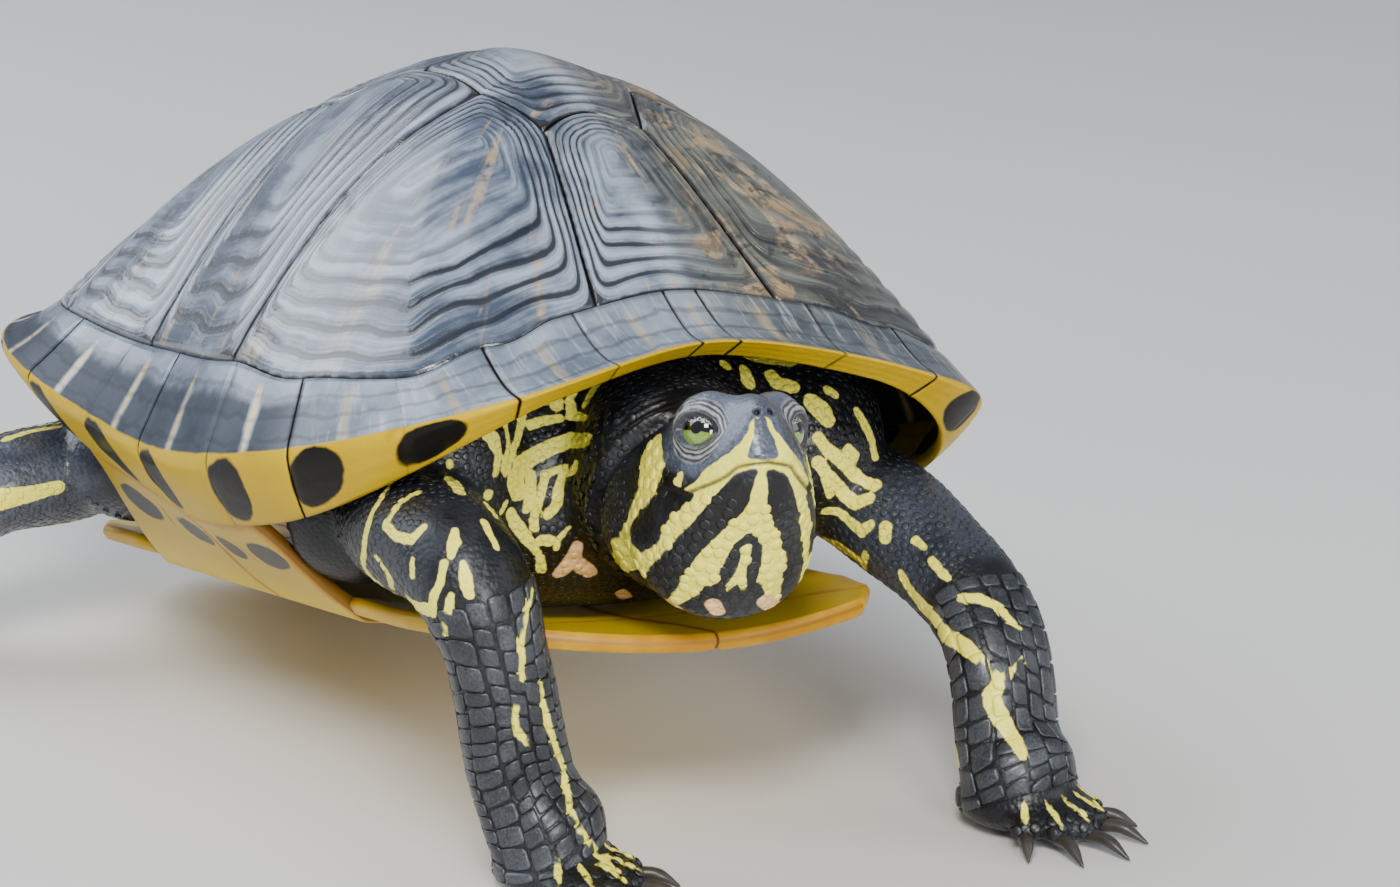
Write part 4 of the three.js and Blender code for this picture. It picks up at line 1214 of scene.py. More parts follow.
def markings(p, normal):
    local = inHead(p)
    drawn = smooth(-0.05, 0.25, normal @ unit(np.array([-0.45, -0.86, 0.24])))
    front = np.flatnonzero((local[:, 0] < 44) & (p[:, 1] < -80) & (np.abs(local[:, 1]) < 19))
    q = headChart(local[front])
    outline = {name: insideLoop(q, loop) for name, loop in laid["head"].items()}
    yellow = outline["yellow"]
    for name in ("wedge", "blotch", "band", "arch"):
        yellow = np.minimum(yellow, -outline[name])
    yellow = np.maximum(np.maximum(yellow, outline["tick"]), outline["archMiddle"])
    field = np.full(len(p), -9.0)
    for group, stripes in laid["stripes"].items():
        field = np.maximum(field, stripeField(p, stripes, strokeSpread.get(group, 0.1)))
    for name in limbs:
        side = limbField(p, name)
        if "Arm" in name:
            side = np.minimum(side, 2 - 6 * drawn)
        field = np.maximum(field, side)
    for name, spec in limbs.items():
        for centre, out, length in toeBars(spec):
            bar = [(*(centre + out * length * share)[:2], 2.4, 0.6) for share in (0.55, 0.98)]
            field = np.maximum(field, stripeField(p * (1, 1, 0.4), [bar]))
    flat = layPoint(p)
    sway = (1.3 * np.sin(flat[:, 2] * 0.32 + 0.6) + 1.1 * np.sin(flat[:, 0] * 0.27)
            + 0.5 * np.sin(flat[:, 2] * 0.9))
    pants = 1.5 * np.sin(flat[:, 0] * 0.98 + sway) - 0.35 + 0.6 * np.sin(flat[:, 2] * 0.6 + flat[:, 0] * 0.4)
    field = np.maximum(field, np.where((flat[:, 1] > 52) & (np.abs(flat[:, 0]) < 48), pants, -9))
    slate = np.zeros(len(p))
    slate[front] = smooth(6, 9, q[:, 1]) * (1 - smooth(14, 19, local[front, 0]))
    for name in ("blotch", "band", "arch"):
        slate[front] *= 1 - smooth(-0.2, 0.5, outline[name])
    field[front] = np.maximum(yellow, np.where(local[front, 0] > 30, field[front], -9))
    for name in limbs:
        run, _, away = limbChart(p, name)
        share, start, end = limbSlate[name]
        grey = share * smooth(start, start + 12, run) * (1 - smooth(end - 4, end, run))
        slate = np.maximum(slate, grey * (away < 15) * (np.abs(p[:, 0]) > 28))
    return {"yellow": field, "peach": stripeField(p, laid["peach"], 0.2), "slate": slate}


def buildSkin(paint):
    blobs, clawSpots = fleshBlobs()
    bm = remeshed(joinBlobs(blobs), skin["voxel"])
    p = places(bm)
    onHead = 1 - smooth(20, 26, inHead(p)[:, 0])
    inFoot = 1 - smooth(5, 9, p[:, 2])
    p = relax(p, edgesOf(bm), lerp(lerp(0.5, 0.3, onHead), 0.25, inFoot), skin["smoothing"])
    p[:, 2] = np.maximum(p[:, 2], 0)
    moveTo(bm, p)
    bm = thinned(bm, np.abs(layPoint(p)[:, 1]) < skin["hiddenHalf"], skin["hiddenShare"])
    # the head gets a finer mesh, the eyelids and the nose the finest
    bm.verts.index_update()
    refine(bm, inHead(places(bm))[:, 0] < 30, skin["headCuts"],
           lambda q: 0.5 * (1 - smooth(28, 30, inHead(q)[:, 0])), 8)
    bm.verts.index_update()
    p = places(bm)
    fine = nearEyes(p) | (inHead(p)[:, 0] < 2.2)
    p = refine(bm, fine, 1, lambda q: 0.4 * (inHead(q)[:, 0] < 16), 3)
    bm.verts.index_update()
    flat = layPoint(p)
    chest = (flat[:, 1] < -59) & (np.abs(flat[:, 0]) < 42) & (flat[:, 2] > -18) & (p[:, 1] > -90)
    chest &= (inHead(p)[:, 0] > 33) & (vertexNormals(bm) @ unit(np.array([-0.45, -0.86, 0.24])) > 0.25)
    p = refine(bm, chest, 1, lambda q: 0.0 * q[:, 0], 0)
    p, made = sculptHead(p, vertexNormals(bm))
    p[:, 2] = np.maximum(p[:, 2], 0)
    moveTo(bm, p)
    layMarkings(p)
    values = {**markings(p, vertexNormals(bm)), **made}
    print("skin faces", len(bm.faces))
    tree = BVHTree.FromBMesh(bm)
    surface = (p, vertexNormals(bm), tree)
    moveTo(bm, inScene(p))
    nodes = ["head", "neck", "trunk", "tail"]
    for word in ("left", "right"):
        nodes += [f"{part}_{word}" for part in ("upper_arm", "forearm", "forefoot", "thigh", "shank",
                                                "hindfoot")]
    addPiece("skin", bm, paint, nodes, values)
    return clawSpots, surface


lids = {
    "halfLong": 3.9, "halfHigh": 2.3, "sink": 1.1, "margin": 0.13, "drop": 0.4,
    "rim": 0.3, "fold": 0.14, "foldStep": 0.3, "browFold": 0.35,
}


def eyeCentre(side):
    return headPoint(head["eyeBack"], side * head["eyeSide"], head["eyeUp"])


# Directions of an eye: where it looks, its long axis (forwards) and its upper side.
def eyeFrame(side):
    ahead, out, up = head["look"]
    look = unit(headForward * ahead + headLeft * side * out + headUp * up)
    flat = unit(headForward - look * (headForward @ look))
    high = unit(headUp - look * (headUp @ look) - flat * (headUp @ flat))
    tilt = math.radians(head["eyeTilt"])
    return look, flat * math.cos(tilt) - high * math.sin(tilt), high * math.cos(tilt) + flat * math.sin(tilt)


# The opening is 1 at the lid's edge and grows outwards; folds run round it.
def sculptEyes(p):
    ring = np.full(len(p), 9.0)
    for side in (-1, 1):
        look, along, high = eyeFrame(side)
        d = p - eyeCentre(side)
        r = np.linalg.norm(d, axis=1)
        a, b = d @ along, d @ high + lids["drop"]
        e = (np.abs(a / lids["halfLong"]) ** 2 + np.abs(b / lids["halfHigh"]) ** 1.3) ** 0.7
        near = (d @ look > 0) & (r < 8)
        opening = (1 - smooth(1 - lids["margin"], 1 + lids["margin"], e)) * near
        lift = lids["rim"] * np.exp(-((e - 1.2) / 0.14) ** 2)
        folds = 0.5 + 0.5 * np.cos(
            2 * np.pi * (e - 1.2 + 0.07 * np.sin(2.3 * a + 1.1 * b)) / lids["foldStep"])
        lift = lift - lids["fold"] * (1 - folds) * smooth(1.15, 1.35, e) * (1 - smooth(1.9, 2.5, e))
        lift = lift + lids["browFold"] * np.exp(-((e - 1.55) / 0.2) ** 2) * smooth(-0.5, 2, b)
        facing = smooth(0.02, 0.35, (d @ look) / np.maximum(r, 1e-6))
        lift = lift * near * facing * (1 - smooth(6.4, 7.8, r))
        target = np.where(opening > 0, lerp(r, head["eyeRadius"] - lids["sink"], opening), r) + lift
        p = np.where(near[:, None], eyeCentre(side) + d * (target / np.maximum(r, 1e-6))[:, None], p)
        ring = np.where(near, np.minimum(ring, e + 4 * (1 - facing)), ring)
    return p, ring


# Along the closed mouth, from the middle of the beak to its corner: back, side, up.
mouth = {
    "line": [(0.9, 0, -8.1), (1.2, 1.4, -8.15), (1.8, 2.9, -8.1), (3, 4.5, -8.1), (4.4, 5.7, -8.8),
             (6.5, 7.2, -9.1), (9.2, 8.9, -9), (11.5, 10.1, -8.8), (13.6, 11.1, -7.5),
             (17.1, 12.5, -6.2)],
    "depth": 0.5, "width": 0.34, "lip": 0.35, "chin": 0.25,
}
nose = {"hole": (-0.2, 1.1, 0), "size": 0.52, "depth": 1.0, "rim": 0.16}
collar = {"back": 31, "slant": 1.35, "depth": 1.1, "width": 1.5, "ridge": 0.8, "fold": 0.3, "foldStep": 2.8}


def sculptHead(p, normal):
    local = inHead(p)
    half = local * np.array([1, 0, 1]) + np.abs(local) * np.array([0, 1, 0])
    line = splinePoints(mouth["line"], 120)
    away = np.full(len(p), 99.0)
    above = np.zeros(len(p))
    front = np.flatnonzero(local[:, 0] < 24)
    for spot in line:
        d = half[front] - spot
        far = np.linalg.norm(d, axis=1)
        closer = far < away[front]
        away[front[closer]] = far[closer]
        above[front[closer]] = d[closer, 2] + 0.35 * d[closer, 0]
    fade = 1 - smooth(15, 18, local[:, 0])
    lift = -mouth["depth"] * np.exp(-(away / mouth["width"]) ** 2)
    lift += mouth["lip"] * np.exp(-((above - 0.75) / 0.6) ** 2) * (away < 3) * (above > 0)
    lift -= mouth["chin"] * np.exp(-((above + 0.8) / 0.7) ** 2) * (away < 3) * (above < 0)
    p = p + normal * (lift * fade)[:, None]
    hole = np.linalg.norm(half - np.array(nose["hole"]), axis=1)
    sink = (nose["depth"] * np.exp(-(hole / nose["size"]) ** 2)
            - nose["rim"] * np.exp(-((hole - 0.95) / 0.3) ** 2))
    p = p - headForward * sink[:, None]
    p, ring = sculptEyes(p)
    behind = local[:, 0] - collar["back"] + collar["slant"] * local[:, 2]
    onNeck = (smooth(-6, -2, behind) * (1 - smooth(16, 22, behind))
              * (np.abs(local[:, 1]) < 24) * (p[:, 1] < -74))
    onNeck = onNeck * smooth(5, 10, np.abs(local[:, 1])) * smooth(-16, -8, local[:, 2])
    wave = np.cos(2 * np.pi * (behind - 3) / collar["foldStep"]) * smooth(1.5, 4, behind)
    fold = (collar["ridge"] * np.exp(-((behind - 3) / 1.5) ** 2)
            - collar["depth"] * np.exp(-(behind / collar["width"]) ** 2))
    p = p + normal * ((fold + collar["fold"] * wave) * onNeck)[:, None]
    return p, {"lid": ring, "mouth": away * fade + 9 * (1 - fade), "nostril": hole}


# Scales: low solid domes set on the skin.

scales = {
    "sunk": 0.12, "cover": 0.56,
    "jaw": {"spacing": 1.75, "height": 0.2}, "small": {"spacing": 1.3, "height": 0.1},
    "foot": {"spacing": 1.9, "height": 0.3},
}
# Plates round a limb: from, to (mm), then columns (angle, half angle, how many along).
plates = {
    "rightArm": (48, 94, [(180, 12, 17), (150, 17, 14), (121, 11, 15), (98, 11, 15), (75, 11, 15),
                          (52, 11, 15), (28, 12, 15), (0, 15, 12), (-31, 15, 12), (-62, 15, 12),
                          (-93, 15, 12), (-125, 16, 12), (-156, 12, 13)]),
    "leftArm": (50, 88, [(180, 13, 11), (152, 14, 11), (124, 13, 12), (98, 12, 12), (73, 12, 12),
                         (47, 13, 11), (18, 15, 9), (-14, 16, 9), (-47, 16, 9), (-80, 16, 9),
                         (-113, 16, 9), (-147, 16, 10)]),
    "rightLeg": (38, 62, [(180, 15, 7), (149, 15, 7), (118, 15, 7), (87, 15, 7), (56, 15, 7), (25, 15, 7),
                          (-6, 15, 7), (-37, 15, 7), (-68, 15, 7), (-99, 15, 7), (-131, 16, 7),
                          (-160, 6, 8)]),
}
plates["leftLeg"] = plates["rightLeg"]
plateShape = {"height": 0.4, "corner": 0.36, "gap": 0.06, "uneven": 0.34, "skew": 0.4, "sunk": 0.35,
              "flatTop": 3}


def copiesOf(around, rows, count):
    bm, p = ballOf(around, rows)
    mesh = bpy.data.meshes.new("one")
    bm.to_mesh(mesh)
    bm.free()
    thing = bpy.data.objects.new("one", mesh)
    bpy.context.scene.collection.objects.link(thing)
    change = thing.modifiers.new("many", "ARRAY")
    change.count, change.use_relative_offset = count, False
    bpy.context.view_layer.update()
    many = bpy.data.meshes.new_from_object(thing.evaluated_get(bpy.context.evaluated_depsgraph_get()))
    bpy.data.objects.remove(thing)
    bpy.data.meshes.remove(mesh)
    return many, p


def spread(p, chosen, spacing, seed):
    order = np.random.default_rng(seed).permutation(np.flatnonzero(chosen))
    taken, kept = {}, []
    for i in order:
        spot = p[i]
        cell = tuple((spot // spacing).astype(int).tolist())
        near = (taken.get((cell[0] + a, cell[1] + b, cell[2] + c))
                for a in (-1, 0, 1) for b in (-1, 0, 1) for c in (-1, 0, 1))
        if all(other is None or ((other - spot) ** 2).sum() > spacing ** 2 for other in near):
            taken[cell] = spot
            kept.append(i)
    return np.array(kept)


def addScales(name, spots, across, along, up, half, height, paint, around, rows, whole):
    mesh, ball = copiesOf(around, rows, len(spots))
    x, y, z = ball.T
    dome = np.where(z > -0.1, z * height[:, None], -scales["sunk"] - 0.15)[..., None]
    p = (spots[:, None] + across[:, None] * (x * half[:, :1])[..., None]
         + along[:, None] * (y * half[:, 1:])[..., None])
    p = p + up[:, None] * dome
    mesh.vertices.foreach_set("co", inScene(p.reshape(-1, 3)).astype(np.float32).ravel())
    colours = markings(p.reshape(-1, 3), np.repeat(up, len(ball), 0))
    if whole:
        colours["yellow"] = lerp(colours["yellow"], np.repeat(markings(spots, up)["yellow"], len(ball)), 0.55)
    values = {key: colours[key] for key in ("yellow", "peach", "slate")}
    values["rim"] = np.tile(np.clip(1 - z, 0, 1), len(spots))
    values["plate"] = np.full(len(spots) * len(ball), 0.0)
    dressPiece(name, mesh, paint, (), values)
    print(name, len(spots), len(mesh.polygons))


def scaleFrame(normal, direction):
    along = unit(direction - normal * (normal * direction).sum(1)[:, None])
    return np.cross(along, normal), along


def buildScales(surface, paint):
    p, normal, tree = surface
    flat, local = layPoint(p), inHead(p)
    shown = np.abs(flat[:, 1]) > 55
    shown |= p[:, 2] < 34
    shown &= p[:, 2] > 2.2
    onHead = (local[:, 0] < 40) & (p[:, 1] < -84) & (np.abs(local[:, 1]) < 18)
    chart = headChart(local)
    jaw = onHead & ((chart[:, 1] < 4) | ((chart[:, 0] < -22) & (chart[:, 1] < 14))) & (local[:, 0] > 7)
    jaw &= chart[:, 1] < 6 + 0.25 * chart[:, 0] + 12 * (chart[:, 0] < -22)
    jaw &= (chart[:, 0] > -19) | (markings(p, normal)["yellow"] > -0.5)
    plated = np.zeros(len(p), bool)
    for name, (first, last, _) in plates.items():
        run, _, away = limbChart(p, name)
        plated |= (run > first - 2) & (run < last + 1) & (away < 14)
    foot = (p[:, 2] < 12) & (normal[:, 2] > 0.1) & ~plated & (np.abs(p[:, 0]) > 20)
    small = shown & ~jaw & ~plated & ~foot & ~(local[:, 0] < 26)
    for key, chosen, around, rows in (("jaw", jaw, 8, 5), ("foot", foot, 8, 5), ("small", small, 6, 4)):
        kind = scales[key]
        kept = spread(p, chosen, kind["spacing"], 5)
        for part, picked in enumerate(np.array_split(kept, max(1, math.ceil(len(kept) / 4500)))):
            rng = np.random.default_rng(len(picked))
            half = kind["spacing"] * scales["cover"] * rng.uniform(0.88, 1.12, (len(picked), 2))
            across, along = scaleFrame(normal[picked], np.tile([0.3, 0.4, 0.85], (len(picked), 1)))
            height = kind["height"] * rng.uniform(0.8, 1.2, len(picked))
            if key == "jaw":
                height = height * lerp(0.15, 1,
                                       smooth(-0.3, 0.5, markings(p[picked], normal[picked])["yellow"]))
            addScales(f"scales_{key}_{part + 1}", p[picked], across, along, normal[picked], half, height,
                      paint, around, rows, key == "jaw")
    for name in plates:
        buildPlates(name, tree, paint)


# Every corner of a plate is dropped on the skin from the limb's centre line.
def buildPlates(name, tree, paint):
    first, last, columns = plates[name]
    spec = limbs[name]
    line = splinePoints(spec["points"], 240)
    step = np.linalg.norm(line[1] - line[0])
    tangents = unit(np.gradient(line, axis=0))
    side = np.array(spec["side"], float)
    wides = unit(side - tangents * (tangents @ side)[:, None])
    deeps = np.cross(tangents, wides)
    rng = np.random.default_rng(len(name))
    spots = []
    for k, (angle, half, count) in enumerate(columns):
        lengths = rng.uniform(1 - plateShape["uneven"], 1 + plateShape["uneven"], count)
        lengths *= (last - first) / lengths.sum()
        run = first + rng.uniform(0, 0.8) * lengths[0]
        for length in lengths:
            middle = run + length / 2
            spots.append((middle, angle + 2.5 * math.sin(middle * 0.35 + k), length / 2 - plateShape["gap"],
                          half))
            run += length
    mesh, ball = copiesOf(10, 6, len(spots))
    x, y, z = ball.T
    power = plateShape["corner"]
    flatten = np.sqrt(np.clip(1 - z * z, 1e-9, 1))
    bx, by = (np.sign(x) * np.abs(x / flatten) ** power * flatten ** 0.5,
              np.sign(y) * np.abs(y / flatten) ** power * flatten ** 0.5)
    out = []
    for run, angle, halfRun, halfAngle in spots:
        lean = plateShape["skew"] * math.sin(run * 0.13 + angle * 0.03)
        base = []
        top = plateShape["height"] * (1 - (1 - np.clip(z, 0, 1)) ** plateShape["flatTop"])
        for i in range(len(ball)):
            at = min(max((run + (by[i] + bx[i] * lean) * halfRun) / step, 0), len(line) - 1.001)
            k = int(at)
            turn = math.radians(angle + bx[i] * halfAngle)
            c, s = math.cos(turn), math.sin(turn)
            origin = Vector(lerp(line[k], line[k + 1], at - k))
            ray = Vector(wides[k] * c + deeps[k] * s)
            hit = tree.ray_cast(origin, ray, 30)[0]
            rise = top[i] if z[i] > 0 else -plateShape["sunk"]
            base.append((hit if hit else origin + ray * 6) + ray * rise)
        out += base
    p = np.array(out)
    p[:, 2] = np.maximum(p[:, 2], 0.15)
    mesh.vertices.foreach_set("co", inScene(p).astype(np.float32).ravel())
    colours = markings(p, np.tile([0, 0, 1.0], (len(p), 1)))
    values = {key: colours[key] for key in ("yellow", "peach", "slate")}
    values["rim"] = np.tile(np.clip(1 - z, 0, 1), len(spots))
    values["plate"] = np.repeat(rng.uniform(0.45, 1, len(spots)), len(ball))
    dressPiece(f"plates_{name}", mesh, paint, (), values)
    print("plates", name, len(spots))


# Eyes and claws.

def buildEyes(paint):
    for word, side in (("left", 1), ("right", -1)):
        bm, p = ballOf(64, 48)
        look, wide, up = eyeFrame(side)
        bulge = 1 + 0.07 * np.clip(p[:, 2] - 0.55, 0, 1) / 0.45
        q = p * bulge[:, None] * head["eyeRadius"]
        spot = eyeCentre(side) + q[:, :1] * wide + q[:, 1:2] * up + q[:, 2:] * look
        moveTo(bm, inScene(spot))
        values = {"eyeAcross": p[:, 0], "eyeUp": p[:, 1], "eyeOut": p[:, 2]}
        addPiece(f"eyeball_{word}", bm, paint, [f"eye_{word}"], values)
    print("eyes done")


def buildClaws(clawSpots, paint):
    for name, tips in clawSpots:
        blobs = []
        for end, out, length in tips:
            start = end - out * 2.0
            start[2] = max(end[2] + 0.2, 2.2)
            point = end + out * length
            point[2] = 0.35
            middle = (start + point) / 2 + np.array([0, 0, 1.1])
            blobs.append(tubeOf([start, middle, point], [(0, 1.25, 1.15), (0.5, 1.1, 1.0), (1, 0.3, 0.3)],
                                turned(out, 90), 14, 16, 0.08))
        bm = joinBlobs(blobs)
        p = places(bm)
        p[:, 2] = np.maximum(p[:, 2], 0.02)
        moveTo(bm, inScene(p))
        addPiece(f"claws_{name}", bm, paint)
    print("claws done")


# Finishes.

def backPaint():
    paint = Paint("hornBack", Coat_Weight=0.5, Coat_Roughness=0.1)
    ring, edge, left = paint.attribute("ring"), paint.attribute("edge"), paint.attribute("leftward")
    across, along, seed = paint.attribute("across"), paint.attribute("along"), paint.attribute("seed")
    blur, patch, fine = paint.noise(45, 5, 0.6), paint.noise(22, 3), paint.noise(420, 4, 0.6)
    bands = paint.node("ShaderNodeCombineXYZ", None, [ring * 16, along * 2.2 + seed, across * 2.2])
    tone = blur * 0.55 + paint.noise(1, 4, 0.6, bands) * 0.45
    # Right side: slate-blue horn whose pale blue-grey patches are a painted sky reflection. Left side: olive
    # horn darkened as painted shade. Own colour and painted light together.
    slateWithSkySheen = paint.mix(paint.step(tone, 0.4, 0.62), (0.045, 0.062, 0.1), (0.31, 0.37, 0.46))
    oliveInPaintedShade = paint.mix(paint.step(tone, 0.4, 0.62), (0.02, 0.022, 0.02), (0.14, 0.145, 0.12))
    colour = paint.mix(left, slateWithSkySheen, oliveInPaintedShade)
    # Pale blue-grey along the keel is a painted highlight.
    keel = 1 - paint.step((left - 0.35).maths("ABSOLUTE"), 0.04, 0.28)
    colour = paint.mix(keel * paint.step(patch, 0.35, 0.6) * 0.6, colour, (0.42, 0.5, 0.6))
    lined = paint.node("ShaderNodeCombineXYZ", None, [along * 8 + seed * 3.7, across * 1.1, seed])
    streak = paint.step(paint.noise(1, 4, 0.65, lined), 0.54, 0.66) * paint.step(fine, 0.3, 0.6)
    colour = paint.mix(streak * 0.7, colour, (0.46, 0.34, 0.21))
    mottle = paint.step(paint.noise(110, 5, 0.7, None, 0.6), 0.5, 0.6) * paint.step(patch, 0.4, 0.58) * left
    colour = paint.mix(mottle * 0.75, colour, (0.38, 0.25, 0.12))
    colour = paint.mix(paint.step(paint.noise(300, 3, 0.6), 0.58, 0.66) * left * 0.7, colour,
                       (0.014, 0.016, 0.015))
    phase = (ring * scutes["ringsPerScute"]).maths("FRACT")
    away = 0.5 - (phase - 0.5).maths("ABSOLUTE")
    line = (1 - paint.step(away + (fine - 0.5) * 0.14, 0.08, 0.24)) * paint.step(ring, 0.34, 0.54)
    line = line * paint.step(blur, 0.2, 0.5, 0.6, 1) * paint.step(left, 0, 1, 1, 0.5)
    thin = ((1 - paint.step((away * 2 - 0.5).maths("ABSOLUTE") + (fine - 0.5) * 0.2, 0.05, 0.18))
            * paint.step(ring, 0.4, 0.6))
    colour = paint.mix(thin * 0.35, colour, (0.012, 0.015, 0.022))
    colour = paint.mix(line * 0.95, colour, (0.006, 0.008, 0.013))
    colour = paint.mix(1 - paint.step(edge + (fine - 0.5) * 0.5, 0.2, 0.85), colour, (0.005, 0.005, 0.006))
    height = 1 - line * 0.8 - thin * 0.3 + (fine - 0.5) * 0.5 + (paint.noise(1, 3, 0.6, lined) - 0.5) * 0.5
    rough = paint.step(blur, 0.2, 0.8, 0.22, 0.42)
    return paint.feed(Base_Color=colour, Roughness=rough, Normal=paint.bump(height, 0.0003, 0.7))


def rimPaint():
    paint = Paint("hornRim", Coat_Roughness=0.12, Specular_IOR_Level=0.1)
    over, seam, bar = paint.attribute("over"), paint.attribute("seamAway"), paint.attribute("barAway")
    degrees, left, spot = paint.attribute("degrees"), paint.attribute("leftward"), paint.attribute("blotAway")
    blur, wobble, fine = paint.noise(60, 4, 0.6), paint.noise(180, 3), paint.noise(420, 4, 0.6)
    # Upper side of the marginals: pale blue-grey patches are a painted sky reflection, and the left side is
    # darkened as painted shade, over the horn's own slate and olive.
    top = paint.mix(paint.step(blur, 0.3, 0.7), (0.09, 0.115, 0.16), (0.3, 0.35, 0.42))
    top = paint.mix(left * 0.75, top,
                    paint.mix(paint.step(blur, 0.35, 0.7), (0.03, 0.035, 0.036), (0.15, 0.155, 0.14)))
    side = paint.step(degrees, 46, 60)
    dark = (side * paint.step(over + (wobble - 0.5) * 0.12, 0.1, 0.2)
            * paint.step(bar + (wobble - 0.5) * 2, 0.9, 2.2))
    top = paint.mix(dark * 0.85, top, (0.01, 0.014, 0.026))
    rays = paint.node("ShaderNodeCombineXYZ", None, [degrees * 1.3, over * 3, 2.0])
    pale = paint.step(paint.noise(1, 4, 0.6, rays), 0.5, 0.72) * (1 - side)
    top = paint.mix(pale * 0.5, top, (0.5, 0.52, 0.52))
    stripe = (1 - paint.step(bar + (wobble - 0.5) * 2.0, 0.35, 1.25)) * paint.step(side, 0, 1, 0.25, 0.9)
    top = paint.mix(stripe * paint.step(over, 0.03, 0.14), top, (0.62, 0.46, 0.17))
    lines = ((over * 44 + wobble * 5).maths("SINE")) * 0.5 + 0.5
    top = paint.mix(paint.step(lines, 0.8, 1) * 0.4 * paint.step(over, 0.02, 0.1), top, (0.01, 0.012, 0.018))
    yellow = paint.mix(blur, (0.42, 0.25, 0.0005), (0.62, 0.42, 0.001))
    yellow = paint.mix(paint.step(wobble, 0.62, 0.75) * 0.4, yellow, (0.3, 0.13, 0.002))
    reach = (spot / 6.2).maths("POWER", 2.4) + ((over - 0.72) / 0.23).maths("ABSOLUTE").maths("POWER", 2.4)
    blot = 1 - paint.step(reach + (wobble - 0.5) * 0.7 + (blur - 0.5) * 1.1, 0.85, 1.15)
    below = paint.mix(blot, yellow, (0.006, 0.005, 0.004))
    colour = paint.mix(paint.step(over + (wobble - 0.5) * 0.02, 0.455, 0.472), top, below)
    colour = paint.mix(1 - paint.step(seam + (fine - 0.5) * 0.3, 0.12, 0.5), colour, (0.01, 0.008, 0.006))
    height = (fine - 0.5) * 0.5 - lines * 0.25
    under = paint.step(over, 0.44, 0.5)
    rough = paint.step(blur, 0.2, 0.8, 0.24, 0.4) + under * 0.12 + dark * (1 - under) * 0.1
    coat = paint.step(under, 0, 1, 0.5, 0.1) - dark * (1 - under) * 0.5
    return paint.feed(Base_Color=colour, Roughness=rough, Coat_Weight=coat,
                      Normal=paint.bump(height, 0.00025, 0.6))


def bellyPaint():
    paint = Paint("hornBelly", Roughness=0.42, Specular_IOR_Level=0.3, Coat_Weight=0.08, Coat_Roughness=0.15)
    edge, free = paint.attribute("edge"), paint.attribute("free")
    blur, wobble, fine = paint.noise(50, 4, 0.6), paint.noise(200, 3), paint.noise(600, 4, 0.6)
    yellow = paint.mix(blur, (0.6, 0.37, 0.001), (0.85, 0.61, 0.006))
    # The bridge is darkened: painted shade under the side of the shell.
    yellow = paint.mix(paint.step(paint.attribute("bridge"), 0.05, 0.5) * 0.8, yellow, (0.44, 0.28, 0.0005))
    yellow = paint.mix((1 - paint.step(free + (wobble - 0.5) * 3, 0.3, 5)) * 0.4, yellow, (0.45, 0.16, 0.002))
    yellow = paint.mix((1 - paint.step(edge + (wobble - 0.5) * 2.4, 0.1, 2.2)) * 0.65, yellow,
                       (0.34, 0.1, 0.004))
    out, way = paint.attribute("bridge"), paint.attribute("way")
    reach = ((out - 0.68) / 0.13).maths("POWER", 2) + ((way - 0.45) / 0.36).maths("POWER", 2)
    smudge = 1 - paint.step(reach + (blur - 0.5) * 1.6 + (wobble - 0.5) * 0.5, 0.75, 1.1)
    yellow = paint.mix(smudge, yellow, (0.006, 0.005, 0.004))
    yellow = paint.mix((1 - paint.step(edge, 0.1, 0.45)) * 0.8, yellow, (0.1, 0.04, 0.01))
    yellow = paint.mix(paint.step(fine, 0.62, 0.8) * 0.2, yellow, (0.45, 0.2, 0.02))
    return paint.feed(Base_Color=yellow, Normal=paint.bump((fine - 0.5) * 0.5, 0.0002, 0.5))


peachColour = (0.82, 0.5, 0.22)


def lemonOf(paint, blur, fine, share):
    lemon = paint.mix(blur, (0.76, 0.68, 0.035), (0.9, 0.84, 0.1))
    return paint.mix(paint.step(fine, 0.35, 0.75) * share, lemon, (0.94, 0.9, 0.28))


